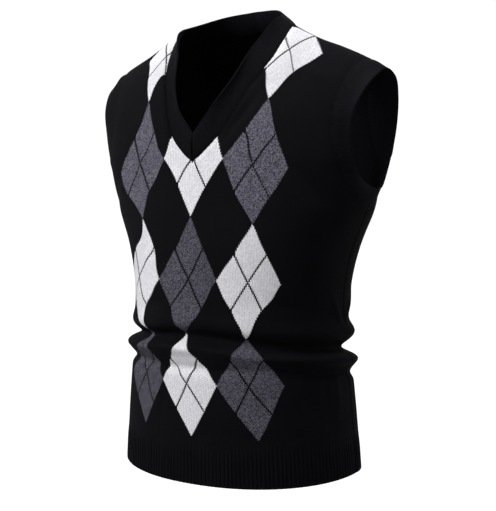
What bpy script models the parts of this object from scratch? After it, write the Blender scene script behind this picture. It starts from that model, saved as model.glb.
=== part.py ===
"""Knitted sweater vest, worn and hollow, with a V neck, a ribbed hem and banded armholes.

Metres, +Z up.  The front faces -Y and the wearer's left is +X.  The origin is where
the wearer's shoulders hold the vest up: midway between the shoulder seams beside the
neck.  The tables count x and y from the body's axis and heights from the hem.

The cloth follows a form: rings round the body up to the chest, and above them a dome
that closes on the shoulder line.  A place on the form is (share, level): share runs
from 0 at the centre line to 1 at the wearer's left side and to -1 at the right side,
and level from 0 at the hem to 1 at the chest ring and to 2 at the shoulder line.
"""

import math

import bpy
import numpy as np

# ---------------------------------------------------------------- driving sizes
WALL = 0.0024                # thickness of the knit
SEAM_GAP = 0.0003            # pieces stay this far apart at a seam
HELD_AT = (0.0, -0.030, 0.566)  # between the shoulder seams beside the neck: the origin

HEM_TILT_Y = 0.076           # the hem hangs lower at the front
HEM_TILT_X = -0.036          # and lower on the wearer's left
HEM_SIDE_RISE = 0.0035       # and is drawn up at the sides
HEM_FADE = 0.150             # these die out at this height
HEM_RIB_HEIGHT = 0.055
UNDERARM_HEIGHT = 0.335      # where the armholes start
CHEST_HEIGHT = 0.400         # the top ring, level 1
RIB_COUNT = 180              # ribs round the hem
RIB_DEPTH = 0.0010           # how far a rib stands out of its furrow
RIB_FADE = 0.006             # the ribs die out over this height at the top
RIB_PROFILE_COLUMNS = ("across", "stand")
RIB_PROFILE = ((0.00, 0.0), (0.30, 0.0), (0.45, 1.0), (0.85, 1.0))  # one furrow and its rib

# ---------------------------------------------------------------- rings round the body
RING_COLUMNS = ("height", "half_width", "front", "back", "square")
RINGS = (
    (0.000, 0.166, 0.132, 0.082, 2.2),
    (0.070, 0.162, 0.129, 0.080, 2.2),
    (0.140, 0.156, 0.1265, 0.079, 2.2),
    (0.200, 0.151, 0.127, 0.081, 2.2),
    (0.240, 0.153, 0.127, 0.088, 2.2),
    (0.290, 0.166, 0.125, 0.096, 2.2),
    (0.335, 0.187, 0.119, 0.103, 2.2),
    (0.400, 0.205, 0.112, 0.106, 2.2),
)

# The pose: how far the body is turned and shifted at a height.
POSE_COLUMNS = ("height", "turn", "shift_x")
POSE = (
    (0.000, 4.5, 0.000),
    (0.140, 3.5, -0.002),
    (0.200, 3.0, -0.002),
    (0.250, 1.8, -0.001),
    (0.335, 1.0, -0.002),
    (0.400, 1.0, -0.006),
    (0.450, 2.0, -0.006),
    (0.500, 4.0, -0.004),
    (0.570, 6.0, 0.000),
    (0.620, 6.0, 0.000),
)

# The shoulder line, one row for each place across it.  The fullness is the exponent of
# the curve from the chest ring up to it: 2 is an ellipse, less is flatter.
SHOULDER_COLUMNS = ("share", "x", "y", "height", "tilt", "front_full", "back_full")
SHOULDER = (
    (0.00, 0.000, -0.020, 0.600, 0.000, 1.50, 2.1),
    (0.24, 0.060, -0.030, 0.588, 0.003, 1.50, 2.1),
    (0.39, 0.096, -0.037, 0.565, 0.004, 1.50, 2.0),
    (0.52, 0.126, -0.030, 0.550, 0.004, 1.60, 2.0),
    (0.64, 0.154, -0.018, 0.540, 0.003, 1.75, 2.0),
    (0.76, 0.182, -0.006, 0.529, 0.001, 1.90, 2.0),
    (0.87, 0.206, 0.002, 0.516, 0.000, 2.00, 2.0),
    (1.00, 0.222, 0.012, 0.475, 0.000, 2.00, 2.0),
)

# ---------------------------------------------------------------- seams on the form
NECK_SEAM_COLUMNS = ("left_share", "right_share", "level")
NECK_FRONT = (
    (0.000, 0.000, 0.99),
    (0.075, 0.075, 1.08),
    (0.144, 0.144, 1.165),
    (0.205, 0.205, 1.28),
    (0.253, 0.252, 1.39),
    (0.308, 0.291, 1.51),
    (0.348, 0.311, 1.66),
    (0.366, 0.319, 1.82),
    (0.374, 0.327, 2.00),
)
NECK_BACK = (
    (0.000, 0.000, 1.70),
    (0.140, 0.130, 1.71),
    (0.260, 0.235, 1.775),
    (0.338, 0.300, 1.89),
    (0.374, 0.327, 2.00),
)
ARMHOLE_COLUMNS = ("climb", "front_share", "back_share", "level")
ARMHOLE = (
    (0.00, 1.000, 1.000, 0.8375),
    (0.09, 0.912, 0.905, 0.86),
    (0.20, 0.812, 0.785, 0.93),
    (0.34, 0.737, 0.700, 1.06),
    (0.52, 0.707, 0.657, 1.26),
    (0.66, 0.712, 0.665, 1.46),
    (0.80, 0.738, 0.710, 1.68),
    (1.00, 0.790, 0.790, 2.00),
)
LEFT_EDGE = ("x", "y", "height")
RIGHT_EDGE = ("right_x", "right_y", "right_height")
NECK_EDGE_COLUMNS = ("run", *LEFT_EDGE, *RIGHT_EDGE)
NECK_EDGE = (
    (0.00, 0.000, -0.1120, 0.434, 0.000, -0.1120, 0.434),
    (0.15, 0.029, -0.1100, 0.470, -0.029, -0.1100, 0.470),
    (0.26, 0.046, -0.0980, 0.500, -0.045, -0.0985, 0.500),
    (0.42, 0.058, -0.0790, 0.540, -0.053, -0.0840, 0.540),
    (0.56, 0.074, -0.0580, 0.572, -0.064, -0.0690, 0.569),
    (0.64, 0.0765, -0.0440, 0.580, -0.068, -0.0520, 0.577),
    (0.74, 0.065, -0.0180, 0.587, -0.065, -0.0180, 0.587),
    (0.86, 0.040, 0.0130, 0.598, -0.041, 0.0130, 0.598),
    (1.00, 0.000, 0.0270, 0.602, 0.000, 0.0270, 0.602),
)
NECK_EDGE_SHOULDER = 0.63    # the run at which it passes the shoulder seam
NECK_TILT = 0.06             # the neckband stands higher on the wearer's left
ARM_EDGE_COLUMNS = ("turn", *LEFT_EDGE, *RIGHT_EDGE)
ARM_EDGE = (
    (0.00, 0.196, 0.025, 0.3645, -0.197, 0.026, 0.364),
    (0.10, 0.195, -0.013, 0.373, -0.196, -0.010, 0.371),
    (0.17, 0.196, -0.037, 0.395, -0.198, -0.034, 0.392),
    (0.27, 0.196, -0.048, 0.450, -0.202, -0.042, 0.450),
    (0.36, 0.201, -0.041, 0.480, -0.206, -0.036, 0.478),
    (0.45, 0.206, -0.018, 0.505, -0.210, -0.015, 0.503),
    (0.50, 0.208, 0.003, 0.515, -0.210, 0.004, 0.514),
    (0.57, 0.209, 0.030, 0.508, -0.209, 0.030, 0.507),
    (0.66, 0.206, 0.050, 0.482, -0.206, 0.050, 0.482),
    (0.76, 0.201, 0.060, 0.443, -0.201, 0.060, 0.443),
    (0.86, 0.194, 0.057, 0.400, -0.194, 0.057, 0.400),
    (0.93, 0.192, 0.044, 0.374, -0.194, 0.044, 0.374),
)

# ---------------------------------------------------------------- folds at the waist
# Four folds run round the body where the cloth has slipped down over itself: a crest, a
# deep tuck, a roll below it and a ledge.  around is the place: 0 front, 1 left side,
# -1 right side, 2 and -2 the middle of the back.
FOLD_COLUMNS = ("around", "crest", "crest_push", "tuck", "tuck_push",
                "roll", "roll_push", "ledge", "ledge_push")
FOLDS = (
    (-2.00, 0.188, 0.003, 0.168, -0.009, 0.152, 0.007, 0.134, -0.003),
    (-1.50, 0.195, 0.003, 0.176, -0.010, 0.161, 0.008, 0.142, -0.004),
    (-1.00, 0.196, 0.004, 0.177, -0.011, 0.161, 0.009, 0.142, -0.006),
    (-0.50, 0.190, 0.003, 0.173, -0.010, 0.159, 0.008, 0.141, -0.005),
    (0.00, 0.194, 0.003, 0.178, -0.010, 0.160, 0.007, 0.136, -0.005),
    (0.45, 0.186, 0.002, 0.168, -0.009, 0.152, 0.006, 0.135, -0.003),
    (0.85, 0.181, 0.005, 0.163, -0.011, 0.147, 0.008, 0.131, -0.004),
    (1.25, 0.180, 0.007, 0.160, -0.013, 0.143, 0.008, 0.126, -0.004),
    (1.60, 0.183, 0.005, 0.164, -0.011, 0.148, 0.008, 0.130, -0.004),
    (2.00, 0.188, 0.003, 0.168, -0.009, 0.152, 0.007, 0.134, -0.003),
)
FOLD_WIDTHS = {"crest": 0.0110, "tuck": 0.0078, "roll": 0.0080, "ledge": 0.0065}

# ---------------------------------------------------------------- how finely it is divided
LEVEL_STEPS = 80             # steps of the form from the hem to the chest, and on to the top
SHARE_STEPS = 96             # steps of the form from a centre line to a side
HALF_COLUMNS = 12            # columns of a panel from its centre line to its side
FRONT_RISE_ROWS = 3          # rows from the underarm to the point of the V
FRONT_NECK_ROWS = 8          # and from there to the shoulder
BACK_RISE_ROWS = 8           # rows from the underarm to the back of the neck
BACK_NECK_ROWS = 4
# Between the plain rows the rows run along the fold lines, so that a fold has one row on
# its line and the same rows beside it all the way round.
PLAIN_ROWS_BELOW = (HEM_RIB_HEIGHT, 0.085, 0.114)
PLAIN_ROWS_ABOVE = (0.210, 0.240, 0.272, 0.304, UNDERARM_HEIGHT)
FOLD_LINES = ("ledge", "roll", "tuck", "crest")
FOLD_ROWS = (3, 3, 2, 3, 3)  # rows from a line to the next, from the last plain row up
BAND_ROWS = (0.0, 0.35, 0.7, 1.0)  # rows of a band from its seam to its free edge
SEAM_SAMPLES = 400           # places tried along a seam to space its stations evenly
RIB_STRIDE = 12              # outer columns of a hem rib to one column of its inside
RIM_ORDER = (0.2, 0.5, 1.0)  # the direction that counts as higher along a rim


def columns(table, names, *wanted):
    """Return the wanted columns of a table as arrays."""
    rows = np.array(table)
    return [rows[:, names.index(name)] for name in wanted]


def smooth(known, values, at):
    """Pass a smooth curve through values at known places and read it at others."""
    slopes = np.gradient(values, known)
    at = np.clip(at, known[0], known[-1])
    cell = np.clip(np.searchsorted(known, at, side="right") - 1, 0, len(known) - 2)
    width = known[cell + 1] - known[cell]
    t = (at - known[cell]) / width
    start = (1 + 2 * t) * (1 - t) ** 2 * values[cell] + t * (1 - t) ** 2 * width * slopes[cell]
    end = t * t * (3 - 2 * t) * values[cell + 1] + t * t * (t - 1) * width * slopes[cell + 1]
    return start + end


# ---------------------------------------------------------------- the form
FORM_SHARES = np.linspace(0.0, 1.0, SHARE_STEPS + 1)


def half_ring(width, depth, square):
    """Return the quarter from the centre line to the side at even steps along the cloth."""
    angle = np.linspace(0.0, math.pi / 2, 361)
    across = width * np.sin(angle) ** (2 / square)
    out = depth * np.cos(angle).clip(0.0) ** (2 / square)
    run = np.concatenate(([0.0], np.cumsum(np.hypot(np.diff(across), np.diff(out)))))
    run = run / run[-1]
    return np.interp(FORM_SHARES, run, across), np.interp(FORM_SHARES, run, out)


def posed(points):
    """Turn and shift places round the body by their height."""
    heights, turn, shift = columns(POSE, POSE_COLUMNS, "height", "turn", "shift_x")
    angle = np.radians(smooth(heights, turn, points[..., 2]))
    x = points[..., 0] * np.cos(angle) - points[..., 1] * np.sin(angle)
    y = points[..., 0] * np.sin(angle) + points[..., 1] * np.cos(angle)
    fade = (1.0 - points[..., 2] / HEM_FADE).clip(0.0) ** 2
    side = points[..., 0] / RINGS[0][1]
    hang = HEM_TILT_Y * y + HEM_TILT_X * x + HEM_SIDE_RISE * side ** 2
    z = points[..., 2] + hang * fade
    return np.stack((x + smooth(heights, shift, points[..., 2]), y, z), axis=-1)


def form_quarter(back, right):
    """Return one quarter of the form as positions by level and share."""
    ring_heights = columns(RINGS, RING_COLUMNS, "height")[0]
    levels = np.linspace(0.0, CHEST_HEIGHT, LEVEL_STEPS + 1)
    wanted = ("half_width", "back" if back else "front", "square")
    sizes = [smooth(ring_heights, value, levels) for value in columns(RINGS, RING_COLUMNS, *wanted)]
    points = np.zeros((2 * LEVEL_STEPS + 1, SHARE_STEPS + 1, 3))
    for step, (width, depth, square) in enumerate(zip(*sizes)):
        across, out = half_ring(width, depth, square)
        points[step] = np.stack((across, out if back else -out, np.full_like(out, levels[step])), axis=1)
    full_name = "back_full" if back else "front_full"
    shares, x, y, top, tilt, full = columns(
        SHOULDER, SHOULDER_COLUMNS, "share", "x", "y", "height", "tilt", full_name)
    top = top - tilt if right else top + tilt
    x, y, top, full = [smooth(shares, value, FORM_SHARES) for value in (x, y, top, full)]
    start = points[LEVEL_STEPS]
    end = np.stack((x, y, top), axis=1)
    for step in range(1, LEVEL_STEPS + 1):
        angle = math.pi / 2 * step / LEVEL_STEPS
        closing = 1.0 - max(math.cos(angle), 0.0) ** (2 / full)
        rising = math.sin(angle) ** (2 / full)
        points[LEVEL_STEPS + step] = start + (end - start) * np.stack((closing, closing, rising), axis=1)
    if right:
        points[..., 0] *= -1.0
    return posed(points)


FORM = np.array([[form_quarter(back, right) for right in (False, True)] for back in (False, True)])


def fold_push(around, height):
    """Return how far the folds move the cloth outward."""
    places = columns(FOLDS, FOLD_COLUMNS, "around")[0]
    total = np.zeros_like(height)
    for fold, width in FOLD_WIDTHS.items():
        middle, push = columns(FOLDS, FOLD_COLUMNS, fold, fold + "_push")
        away = (height - smooth(places, middle, around)) / width
        total = total + smooth(places, push, around) * np.exp(-away * away)
    return total


def bare_form(back, share, level):
    """Read the form without its folds."""
    share = np.asarray(share, dtype=float)
    level = np.asarray(level, dtype=float)
    across = np.abs(share).clip(0.0, 1.0) * SHARE_STEPS
    up = level.clip(0.0, 2.0) * LEVEL_STEPS
    column = np.minimum(across.astype(int), SHARE_STEPS - 1)
    row = np.minimum(up.astype(int), 2 * LEVEL_STEPS - 1)
    s = (across - column)[..., None]
    t = (up - row)[..., None]
    hand = (share < 0).astype(int)
    quarter = FORM[int(back)]
    low = quarter[hand, row, column] * (1 - s) + quarter[hand, row, column + 1] * s
    high = quarter[hand, row + 1, column] * (1 - s) + quarter[hand, row + 1, column + 1] * s
    return low * (1 - t) + high * t


def form_normal(back, share, level):
    """Return the outward direction of the form."""
    step_s = 0.012
    step_t = 0.012
    share = np.asarray(share, dtype=float).clip(-1 + step_s, 1 - step_s)
    level = np.asarray(level, dtype=float).clip(step_t, 2 - step_t)
    along = bare_form(back, share + step_s, level) - bare_form(back, share - step_s, level)
    rise = bare_form(back, share, level + step_t) - bare_form(back, share, level - step_t)
    normal = np.cross(along, rise)
    if back:
        normal = -normal
    return normal / np.linalg.norm(normal, axis=-1, keepdims=True)


def seam_normal(back, share, level):
    """Return the outward direction, the same for both pieces at side and shoulder seams."""
    share = np.asarray(share, dtype=float)
    level = np.asarray(level, dtype=float)
    own = form_normal(back, share, level)
    other = form_normal(not back, share, level)
    shared = (np.abs(share) > 0.9999) | (level > 1.9999)
    own = np.where(shared[..., None], own + other, own)
    return own / np.linalg.norm(own, axis=-1, keepdims=True)


def form_point(back, share, level):
    """Read the form with its folds."""
    share = np.asarray(share, dtype=float)
    place = bare_form(back, share, level)
    around = np.copysign(2.0 - np.abs(share), share) if back else share
    push = fold_push(around, place[..., 2])
    return place + seam_normal(back, share, level) * push[..., None]


# ---------------------------------------------------------------- stations along seams
def body_heights(around):
    """Heights of the body's rows at places round the body, rows by places."""
    places = columns(FOLDS, FOLD_COLUMNS, "around")[0]
    lines = [smooth(places, line, around) for line in columns(FOLDS, FOLD_COLUMNS, *FOLD_LINES)]
    level = np.ones_like(around)
    anchors = [level * PLAIN_ROWS_BELOW[-1], *lines, level * PLAIN_ROWS_ABOVE[0]]
    rows = [level * height for height in PLAIN_ROWS_BELOW]
    for low, high, steps in zip(anchors, anchors[1:], FOLD_ROWS):
        rows += [low + (high - low) * step / steps for step in range(1, steps + 1)]
    rows += [level * height for height in PLAIN_ROWS_ABOVE[1:]]
    return np.array(rows)


def even_stations(back, share, level, count):
    """Pick stations at even distances along a seam."""
    points = form_point(back, share, level)
    run = np.concatenate(([0.0], np.cumsum(np.linalg.norm(np.diff(points, axis=0), axis=1))))
    at = np.linspace(0.0, run[-1], count + 1)
    return np.interp(at, run, share), np.interp(at, run, level)


def neck_stations(back, right):
    """Stations from the middle of the neck seam to the shoulder of one side."""
    hand = -1.0 if right else 1.0
    shares, levels = columns(NECK_BACK if back else NECK_FRONT, NECK_SEAM_COLUMNS,
                             "right_share" if right else "left_share", "level")
    at = np.linspace(0.0, shares[-1], SEAM_SAMPLES)
    rows = BACK_NECK_ROWS if back else FRONT_NECK_ROWS
    return even_stations(back, at * hand, smooth(shares, levels, at), rows)


def armhole_stations(back, right):
    """Stations from the underarm up the armhole seam to the shoulder of one side."""
    hand = -1.0 if right else 1.0
    climbs, shares, levels = columns(
        ARMHOLE, ARMHOLE_COLUMNS, "climb", "back_share" if back else "front_share", "level")
    at = np.linspace(0.0, 1.0, SEAM_SAMPLES)
    rows = BACK_RISE_ROWS + BACK_NECK_ROWS if back else FRONT_RISE_ROWS + FRONT_NECK_ROWS
    return even_stations(back, smooth(climbs, shares, at) * hand, smooth(climbs, levels, at), rows)


def aside(path, inside, normals):
    """Directions square to a seam, in the cloth, toward the inside points."""
    along = np.gradient(path, axis=0)
    along = along / np.linalg.norm(along, axis=-1, keepdims=True)
    way = inside - path
    way = way - along * np.sum(way * along, axis=-1, keepdims=True)
    way = way - normals * np.sum(way * normals, axis=-1, keepdims=True)
    return way / np.linalg.norm(way, axis=-1, keepdims=True)


# ---------------------------------------------------------------- meshes
def make_object(name, vertices, faces, colour):
    """Make one closed solid with its own material."""
    mesh = bpy.data.meshes.new(name)
    mesh.from_pydata((np.array(vertices) - HELD_AT).tolist(), [], faces)
    obj = bpy.data.objects.new(name, mesh)
    bpy.context.collection.objects.link(obj)
    material = bpy.data.materials.new(name + "_knit")
    material.use_nodes = True
    shader = material.node_tree.nodes["Principled BSDF"]
    shader.inputs["Base Color"].default_value = (*colour, 1.0)
    shader.inputs["Roughness"].default_value = 0.9
    mesh.materials.append(material)
    return obj


def grid_faces(grid, flip):
    """Quads between the rows and columns of a grid of vertex numbers."""
    faces = []
    for row in range(grid.shape[0] - 1):
        for column in range(grid.shape[1] - 1):
            face = [grid[row, column], grid[row, column + 1],
                    grid[row + 1, column + 1], grid[row + 1, column]]
            faces.append([int(v) for v in (face[::-1] if flip else face)])
    return faces


def thicken(outer, inner, faces):
    """Close a sheet into a wall: the inside turned over and a rim along every free edge.

    A rim's quads are split toward their higher end, so that the rims of two pieces
    that meet at a seam stay parallel.
    """
    count = len(outer)
    edges = {(face[i - 1], face[i]) for face in faces for i in range(len(face))}
    wall = [list(face) for face in faces]
    wall += [[v + count for v in face[::-1]] for face in faces]
    keys = outer @ np.array(RIM_ORDER)
    for a, b in sorted(edges):
        if (b, a) in edges:
            continue
        if keys[a] > keys[b]:
            wall += [[b, a, b + count], [a, a + count, b + count]]
        else:
            wall += [[b, a, a + count], [b, a + count, b + count]]
    return np.concatenate((outer, inner)), wall


def panel_half(back, right):
    """One half of a panel: outer points, normals and the row of the neck's middle."""
    neck_share, neck_level = neck_stations(back, right)
    arm_share, arm_level = armhole_stations(back, right)
    across = np.linspace(0.0, 1.0, HALF_COLUMNS + 1)
    hand = -1.0 if right else 1.0
    body = body_heights((2.0 - across if back else across) * hand) / CHEST_HEIGHT
    rise_rows = BACK_RISE_ROWS if back else FRONT_RISE_ROWS
    rise = np.linspace(body[-1, 0], neck_level[0], rise_rows + 1)
    in_share = np.concatenate((np.zeros(rise_rows), neck_share[1:]))[:, None] * hand
    in_level = np.concatenate((rise[1:], neck_level[1:]))[:, None]
    share = in_share + (arm_share[1:, None] * hand - in_share) * across
    level = in_level + (arm_level[1:, None] - in_level) * across
    share = np.concatenate((np.tile(across, (len(body), 1)), share)) * hand
    level = np.concatenate((body, level))
    points = form_point(back, share, level)
    normals = seam_normal(back, share, level)
    underarm = len(body) - 1
    neck = underarm + rise_rows
    shift = np.zeros_like(points)
    shift[:underarm + 1, -1] += aside(points[:underarm + 1, -1], points[:underarm + 1, -2],
                                      normals[:underarm + 1, -1])
    shift[underarm:, -1] += aside(points[underarm:, -1], points[underarm:, -2],
                                  normals[underarm:, -1])
    shift[neck:, 0] += aside(points[neck:, 0], points[neck:, 1], normals[neck:, 0])
    shift[-1] += aside(points[-1], points[-2], normals[-1])
    shift[0, :, 2] += 1.0
    return points + shift * (SEAM_GAP / 2), normals, neck


def make_panel(name, back, colour):
    """Front or back of the body, from the hem rib to the shoulders."""
    outer = []
    normals = []
    faces = []
    grids = []
    for right in (False, True):
        points, ways, neck = panel_half(back, right)
        grid = np.arange(points[..., 0].size).reshape(points.shape[:2]) + len(outer)
        outer.extend(points.reshape(-1, 3))
        normals.extend(ways.reshape(-1, 3))
        grids.append(grid)
    left, right = grids
    middle = (np.array(outer)[left[neck, 0]] + np.array(outer)[right[neck, 0]]) / 2
    outer[left[neck, 0]] = middle
    right[:neck + 1, 0] = left[:neck + 1, 0]
    faces += grid_faces(left, flip=back)
    faces += grid_faces(right, flip=not back)
    outer, normals = np.array(outer), np.array(normals)
    vertices, wall = thicken(outer, outer - normals * WALL, faces)
    used = sorted({v for face in wall for v in face})
    number = {v: i for i, v in enumerate(used)}
    make_object(name, vertices[used], [[number[v] for v in face] for face in wall], colour)


def band_rows(seam, normals, edge, ends_meet):
    """Points and normals of a band from its seam to its free edge, rows by stations."""
    reach = np.linalg.norm(edge - seam, axis=1, keepdims=True)
    if ends_meet:
        wrapped = [np.concatenate((v[-2:-1], v, v[1:2])) for v in (seam, edge, normals)]
        way = aside(*wrapped)[1:-1]
    else:
        way = aside(seam, edge, normals)
    lead = seam + way * reach * 0.5
    rows = []
    for t in BAND_ROWS:
        rows.append(seam * (1 - t) ** 2 + lead * 2 * t * (1 - t) + edge * t * t)
    points = np.array(rows)
    points[0] += way * (SEAM_GAP / 2)
    if ends_meet:
        around = (np.roll(points[:, :-1], -1, axis=1) - np.roll(points[:, :-1], 1, axis=1))
        around = np.concatenate((around, around[:, :1]), axis=1)
    else:
        around = np.gradient(points, axis=1)
    out = np.gradient(points, axis=0)
    square = np.cross(around, out)
    square = square / np.linalg.norm(square, axis=-1, keepdims=True)
    facing = np.sign(np.sum(square * normals, axis=-1, keepdims=True))
    square = square * facing
    square[0] = normals
    return points, square, bool(facing[1, 1, 0] < 0)


def neck_edge(runs, right):
    """The free edge of the neckband on one side."""
    known, *edge = columns(NECK_EDGE, NECK_EDGE_COLUMNS, "run", *(RIGHT_EDGE if right else LEFT_EDGE))
    x, y, height = [smooth(known, value, runs) for value in edge]
    return posed(np.stack((x, y, height + NECK_TILT * x), axis=-1))


def make_neckband(colour):
    """The strip round the neck: up the left side of the V, round the back and down."""
    seams = []
    edges = []
    ways = []
    for right in (False, True):
        parts = []
        for back in (False, True):
            share, level = neck_stations(back, right)
            place = form_point(back, share, level)
            normal = seam_normal(back, share, level)
            parts.append((place, normal))
        seam = np.concatenate((parts[0][0], parts[1][0][-2::-1]))
        way = np.concatenate((parts[0][1], parts[1][1][-2::-1]))
        front = np.linspace(0.0, NECK_EDGE_SHOULDER, FRONT_NECK_ROWS + 1)
        rear = np.linspace(NECK_EDGE_SHOULDER, 1.0, BACK_NECK_ROWS + 1)
        edge = neck_edge(np.concatenate((front, rear[1:])), right)
        seams.append(seam)
        edges.append(edge)
        ways.append(way)
    seam, edge, way = [np.concatenate((pair[0], pair[1][-2::-1])) for pair in (seams, edges, ways)]
    points, normals, flip = band_rows(seam, way, edge, ends_meet=False)
    for end, beside in ((0, 1), (-1, -2)):
        points[:, end] += aside(points[:, end], points[:, beside], normals[:, end]) * (SEAM_GAP / 2)
    grid = np.arange(points[..., 0].size).reshape(points.shape[:2])
    outer = points.reshape(-1, 3)
    vertices, wall = thicken(outer, outer - normals.reshape(-1, 3) * WALL, grid_faces(grid, flip))
    make_object("neckband", vertices, wall, colour)


def make_armband(name, right, colour):
    """The strip round an armhole, up the front from the underarm and down the back."""
    parts = []
    for back in (False, True):
        share, level = armhole_stations(back, right)
        parts.append((form_point(back, share, level), seam_normal(back, share, level)))
    seam = np.concatenate((parts[0][0], parts[1][0][-2::-1]))
    way = np.concatenate((parts[0][1], parts[1][1][-2::-1]))
    front = np.linspace(0.0, 0.5, len(parts[0][0]))
    rear = np.linspace(0.5, 1.0, len(parts[1][0]))
    turns = np.concatenate((front, rear[1:]))
    known, *edge = columns(ARM_EDGE, ARM_EDGE_COLUMNS, "turn", *(RIGHT_EDGE if right else LEFT_EDGE))
    known = np.concatenate((known - 1, known, known + 1))
    edge = posed(np.stack([smooth(known, np.tile(value, 3), turns) for value in edge], axis=-1))
    points, normals, flip = band_rows(seam, way, edge, ends_meet=True)
    outer = points[:, :-1].reshape(-1, 3)
    inner = outer - normals[:, :-1].reshape(-1, 3) * WALL
    grid = np.arange(len(outer)).reshape(len(BAND_ROWS), -1)
    grid = np.concatenate((grid, grid[:, :1]), axis=1)
    vertices, wall = thicken(outer, inner, grid_faces(grid, flip))
    make_object(name, vertices, wall, colour)


def hem_points(back, shares, heights):
    """Points and normals of the hem, short of the side seams and of the panel above."""
    share, level = np.meshgrid(shares, np.array(heights) / CHEST_HEIGHT)
    place = form_point(back, share, level)
    way = seam_normal(back, share, level)
    for end, beside in ((0, 1), (-1, -2)):
        place[:, end] += aside(place[:, end], place[:, beside], way[:, end]) * (SEAM_GAP / 2)
    place[-1, :, 2] -= SEAM_GAP / 2
    return place, way


def make_hem_rib(name, back, colour):
    """Half of the hem: ribs in the outer points over a plain inside."""
    count = RIB_COUNT // 2
    across, stand = columns(RIB_PROFILE, RIB_PROFILE_COLUMNS, "across", "stand")
    places = np.concatenate([rib + across for rib in range(count)] + [[count]])
    stand = np.concatenate((np.tile(stand, count), [0.0]))
    share = 2 * places / count - 1
    outer, way = hem_points(back, share, (0.0, HEM_RIB_HEIGHT - RIB_FADE, HEM_RIB_HEIGHT))
    outer[:-1] += way[:-1] * (RIB_DEPTH * stand)[:, None]
    inner, way = hem_points(back, share[::RIB_STRIDE], (0.0, HEM_RIB_HEIGHT))
    inner = inner - way * WALL
    vertices = np.concatenate((outer.reshape(-1, 3), inner.reshape(-1, 3)))
    out = np.arange(outer[..., 0].size).reshape(outer.shape[:2])
    deep = np.arange(inner[..., 0].size).reshape(inner.shape[:2]) + out.size
    faces = grid_faces(out, flip=False) + grid_faces(deep, flip=True)
    for row, rim, flip in ((out[0], deep[0], True), (out[-1], deep[-1], False)):
        for cell in range(len(rim) - 1):
            half = cell * RIB_STRIDE + RIB_STRIDE // 2
            fans = [[row[i], row[i + 1], rim[cell if i < half else cell + 1]]
                    for i in range(cell * RIB_STRIDE, (cell + 1) * RIB_STRIDE)]
            fans.append([row[half], rim[cell + 1], rim[cell]])
            faces += [[int(v) for v in (fan[::-1] if flip else fan)] for fan in fans]
    faces.append([int(v) for v in (*out[:, 0], deep[-1, 0], deep[0, 0])])
    faces.append([int(v) for v in (*out[::-1, -1], deep[0, -1], deep[-1, -1])])
    if back:
        faces = [face[::-1] for face in faces]
    make_object(name, vertices, faces, colour)


def main():
    """Clear the file and make the seven pieces."""
    for obj in list(bpy.data.objects):
        bpy.data.objects.remove(obj, do_unlink=True)
    make_panel("front_panel", False, (0.030, 0.030, 0.036))
    make_panel("back_panel", True, (0.012, 0.012, 0.014))
    make_hem_rib("hem_rib_front", False, (0.010, 0.010, 0.012))
    make_hem_rib("hem_rib_back", True, (0.010, 0.010, 0.012))
    make_neckband((0.016, 0.016, 0.019))
    make_armband("armband_left", False, (0.016, 0.016, 0.019))
    make_armband("armband_right", True, (0.016, 0.016, 0.019))


if __name__ == "__main__":
    main()
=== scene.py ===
"""A knitted sweater vest, worn and hollow: argyle front, plain back, ribbed hem, banded neck and armholes.

Each cut-and-sewn piece is a thin shell of cloth on the form of its solid, with its seams,
folds and stitches.  Metres, +Z up; the front faces -Y and the wearer's left is +X.  A place
on the cloth is (share, level): share runs from 0 at the centre line to 1 at the wearer's
left side and -1 at the right side, and level from 0 at the hem to 1 at the chest and to 2
at the shoulder line.
"""

import math

import bpy
import numpy as np
from bpy.props import FloatProperty, FloatVectorProperty, IntProperty, PointerProperty
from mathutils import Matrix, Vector


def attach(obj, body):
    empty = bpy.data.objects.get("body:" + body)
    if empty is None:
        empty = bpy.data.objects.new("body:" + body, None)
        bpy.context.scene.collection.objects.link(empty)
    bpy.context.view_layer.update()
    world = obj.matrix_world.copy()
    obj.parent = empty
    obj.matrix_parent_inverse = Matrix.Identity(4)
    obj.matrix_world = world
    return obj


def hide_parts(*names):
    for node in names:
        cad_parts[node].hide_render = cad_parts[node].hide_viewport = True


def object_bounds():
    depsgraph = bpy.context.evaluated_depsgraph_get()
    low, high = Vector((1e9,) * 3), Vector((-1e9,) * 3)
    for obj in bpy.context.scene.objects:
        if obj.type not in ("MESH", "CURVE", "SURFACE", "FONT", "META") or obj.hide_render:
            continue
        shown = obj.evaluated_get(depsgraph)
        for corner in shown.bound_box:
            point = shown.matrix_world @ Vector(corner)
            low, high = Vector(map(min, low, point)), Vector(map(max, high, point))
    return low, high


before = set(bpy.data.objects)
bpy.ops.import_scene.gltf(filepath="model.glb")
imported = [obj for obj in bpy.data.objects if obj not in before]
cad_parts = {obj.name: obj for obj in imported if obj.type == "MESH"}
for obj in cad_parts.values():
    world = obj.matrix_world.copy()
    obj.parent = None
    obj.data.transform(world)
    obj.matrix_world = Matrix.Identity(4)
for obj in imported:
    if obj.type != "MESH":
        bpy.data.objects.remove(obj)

bl_info = {
    "name": "Sweater Vest",
    "version": (1, 0, 0),
    "blender": (4, 5, 0),
    "location": "3D Viewport > Sidebar > Vest",
    "description": "Knits and sews a sweater vest, one cut piece at a time",
    "category": "Add Mesh",
}

SOLIDS_LOW, SOLIDS_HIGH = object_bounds()


def table(names, *rows):
    """Return a table's columns by their names."""
    return dict(zip(names.split(), np.array(rows).T))


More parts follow.
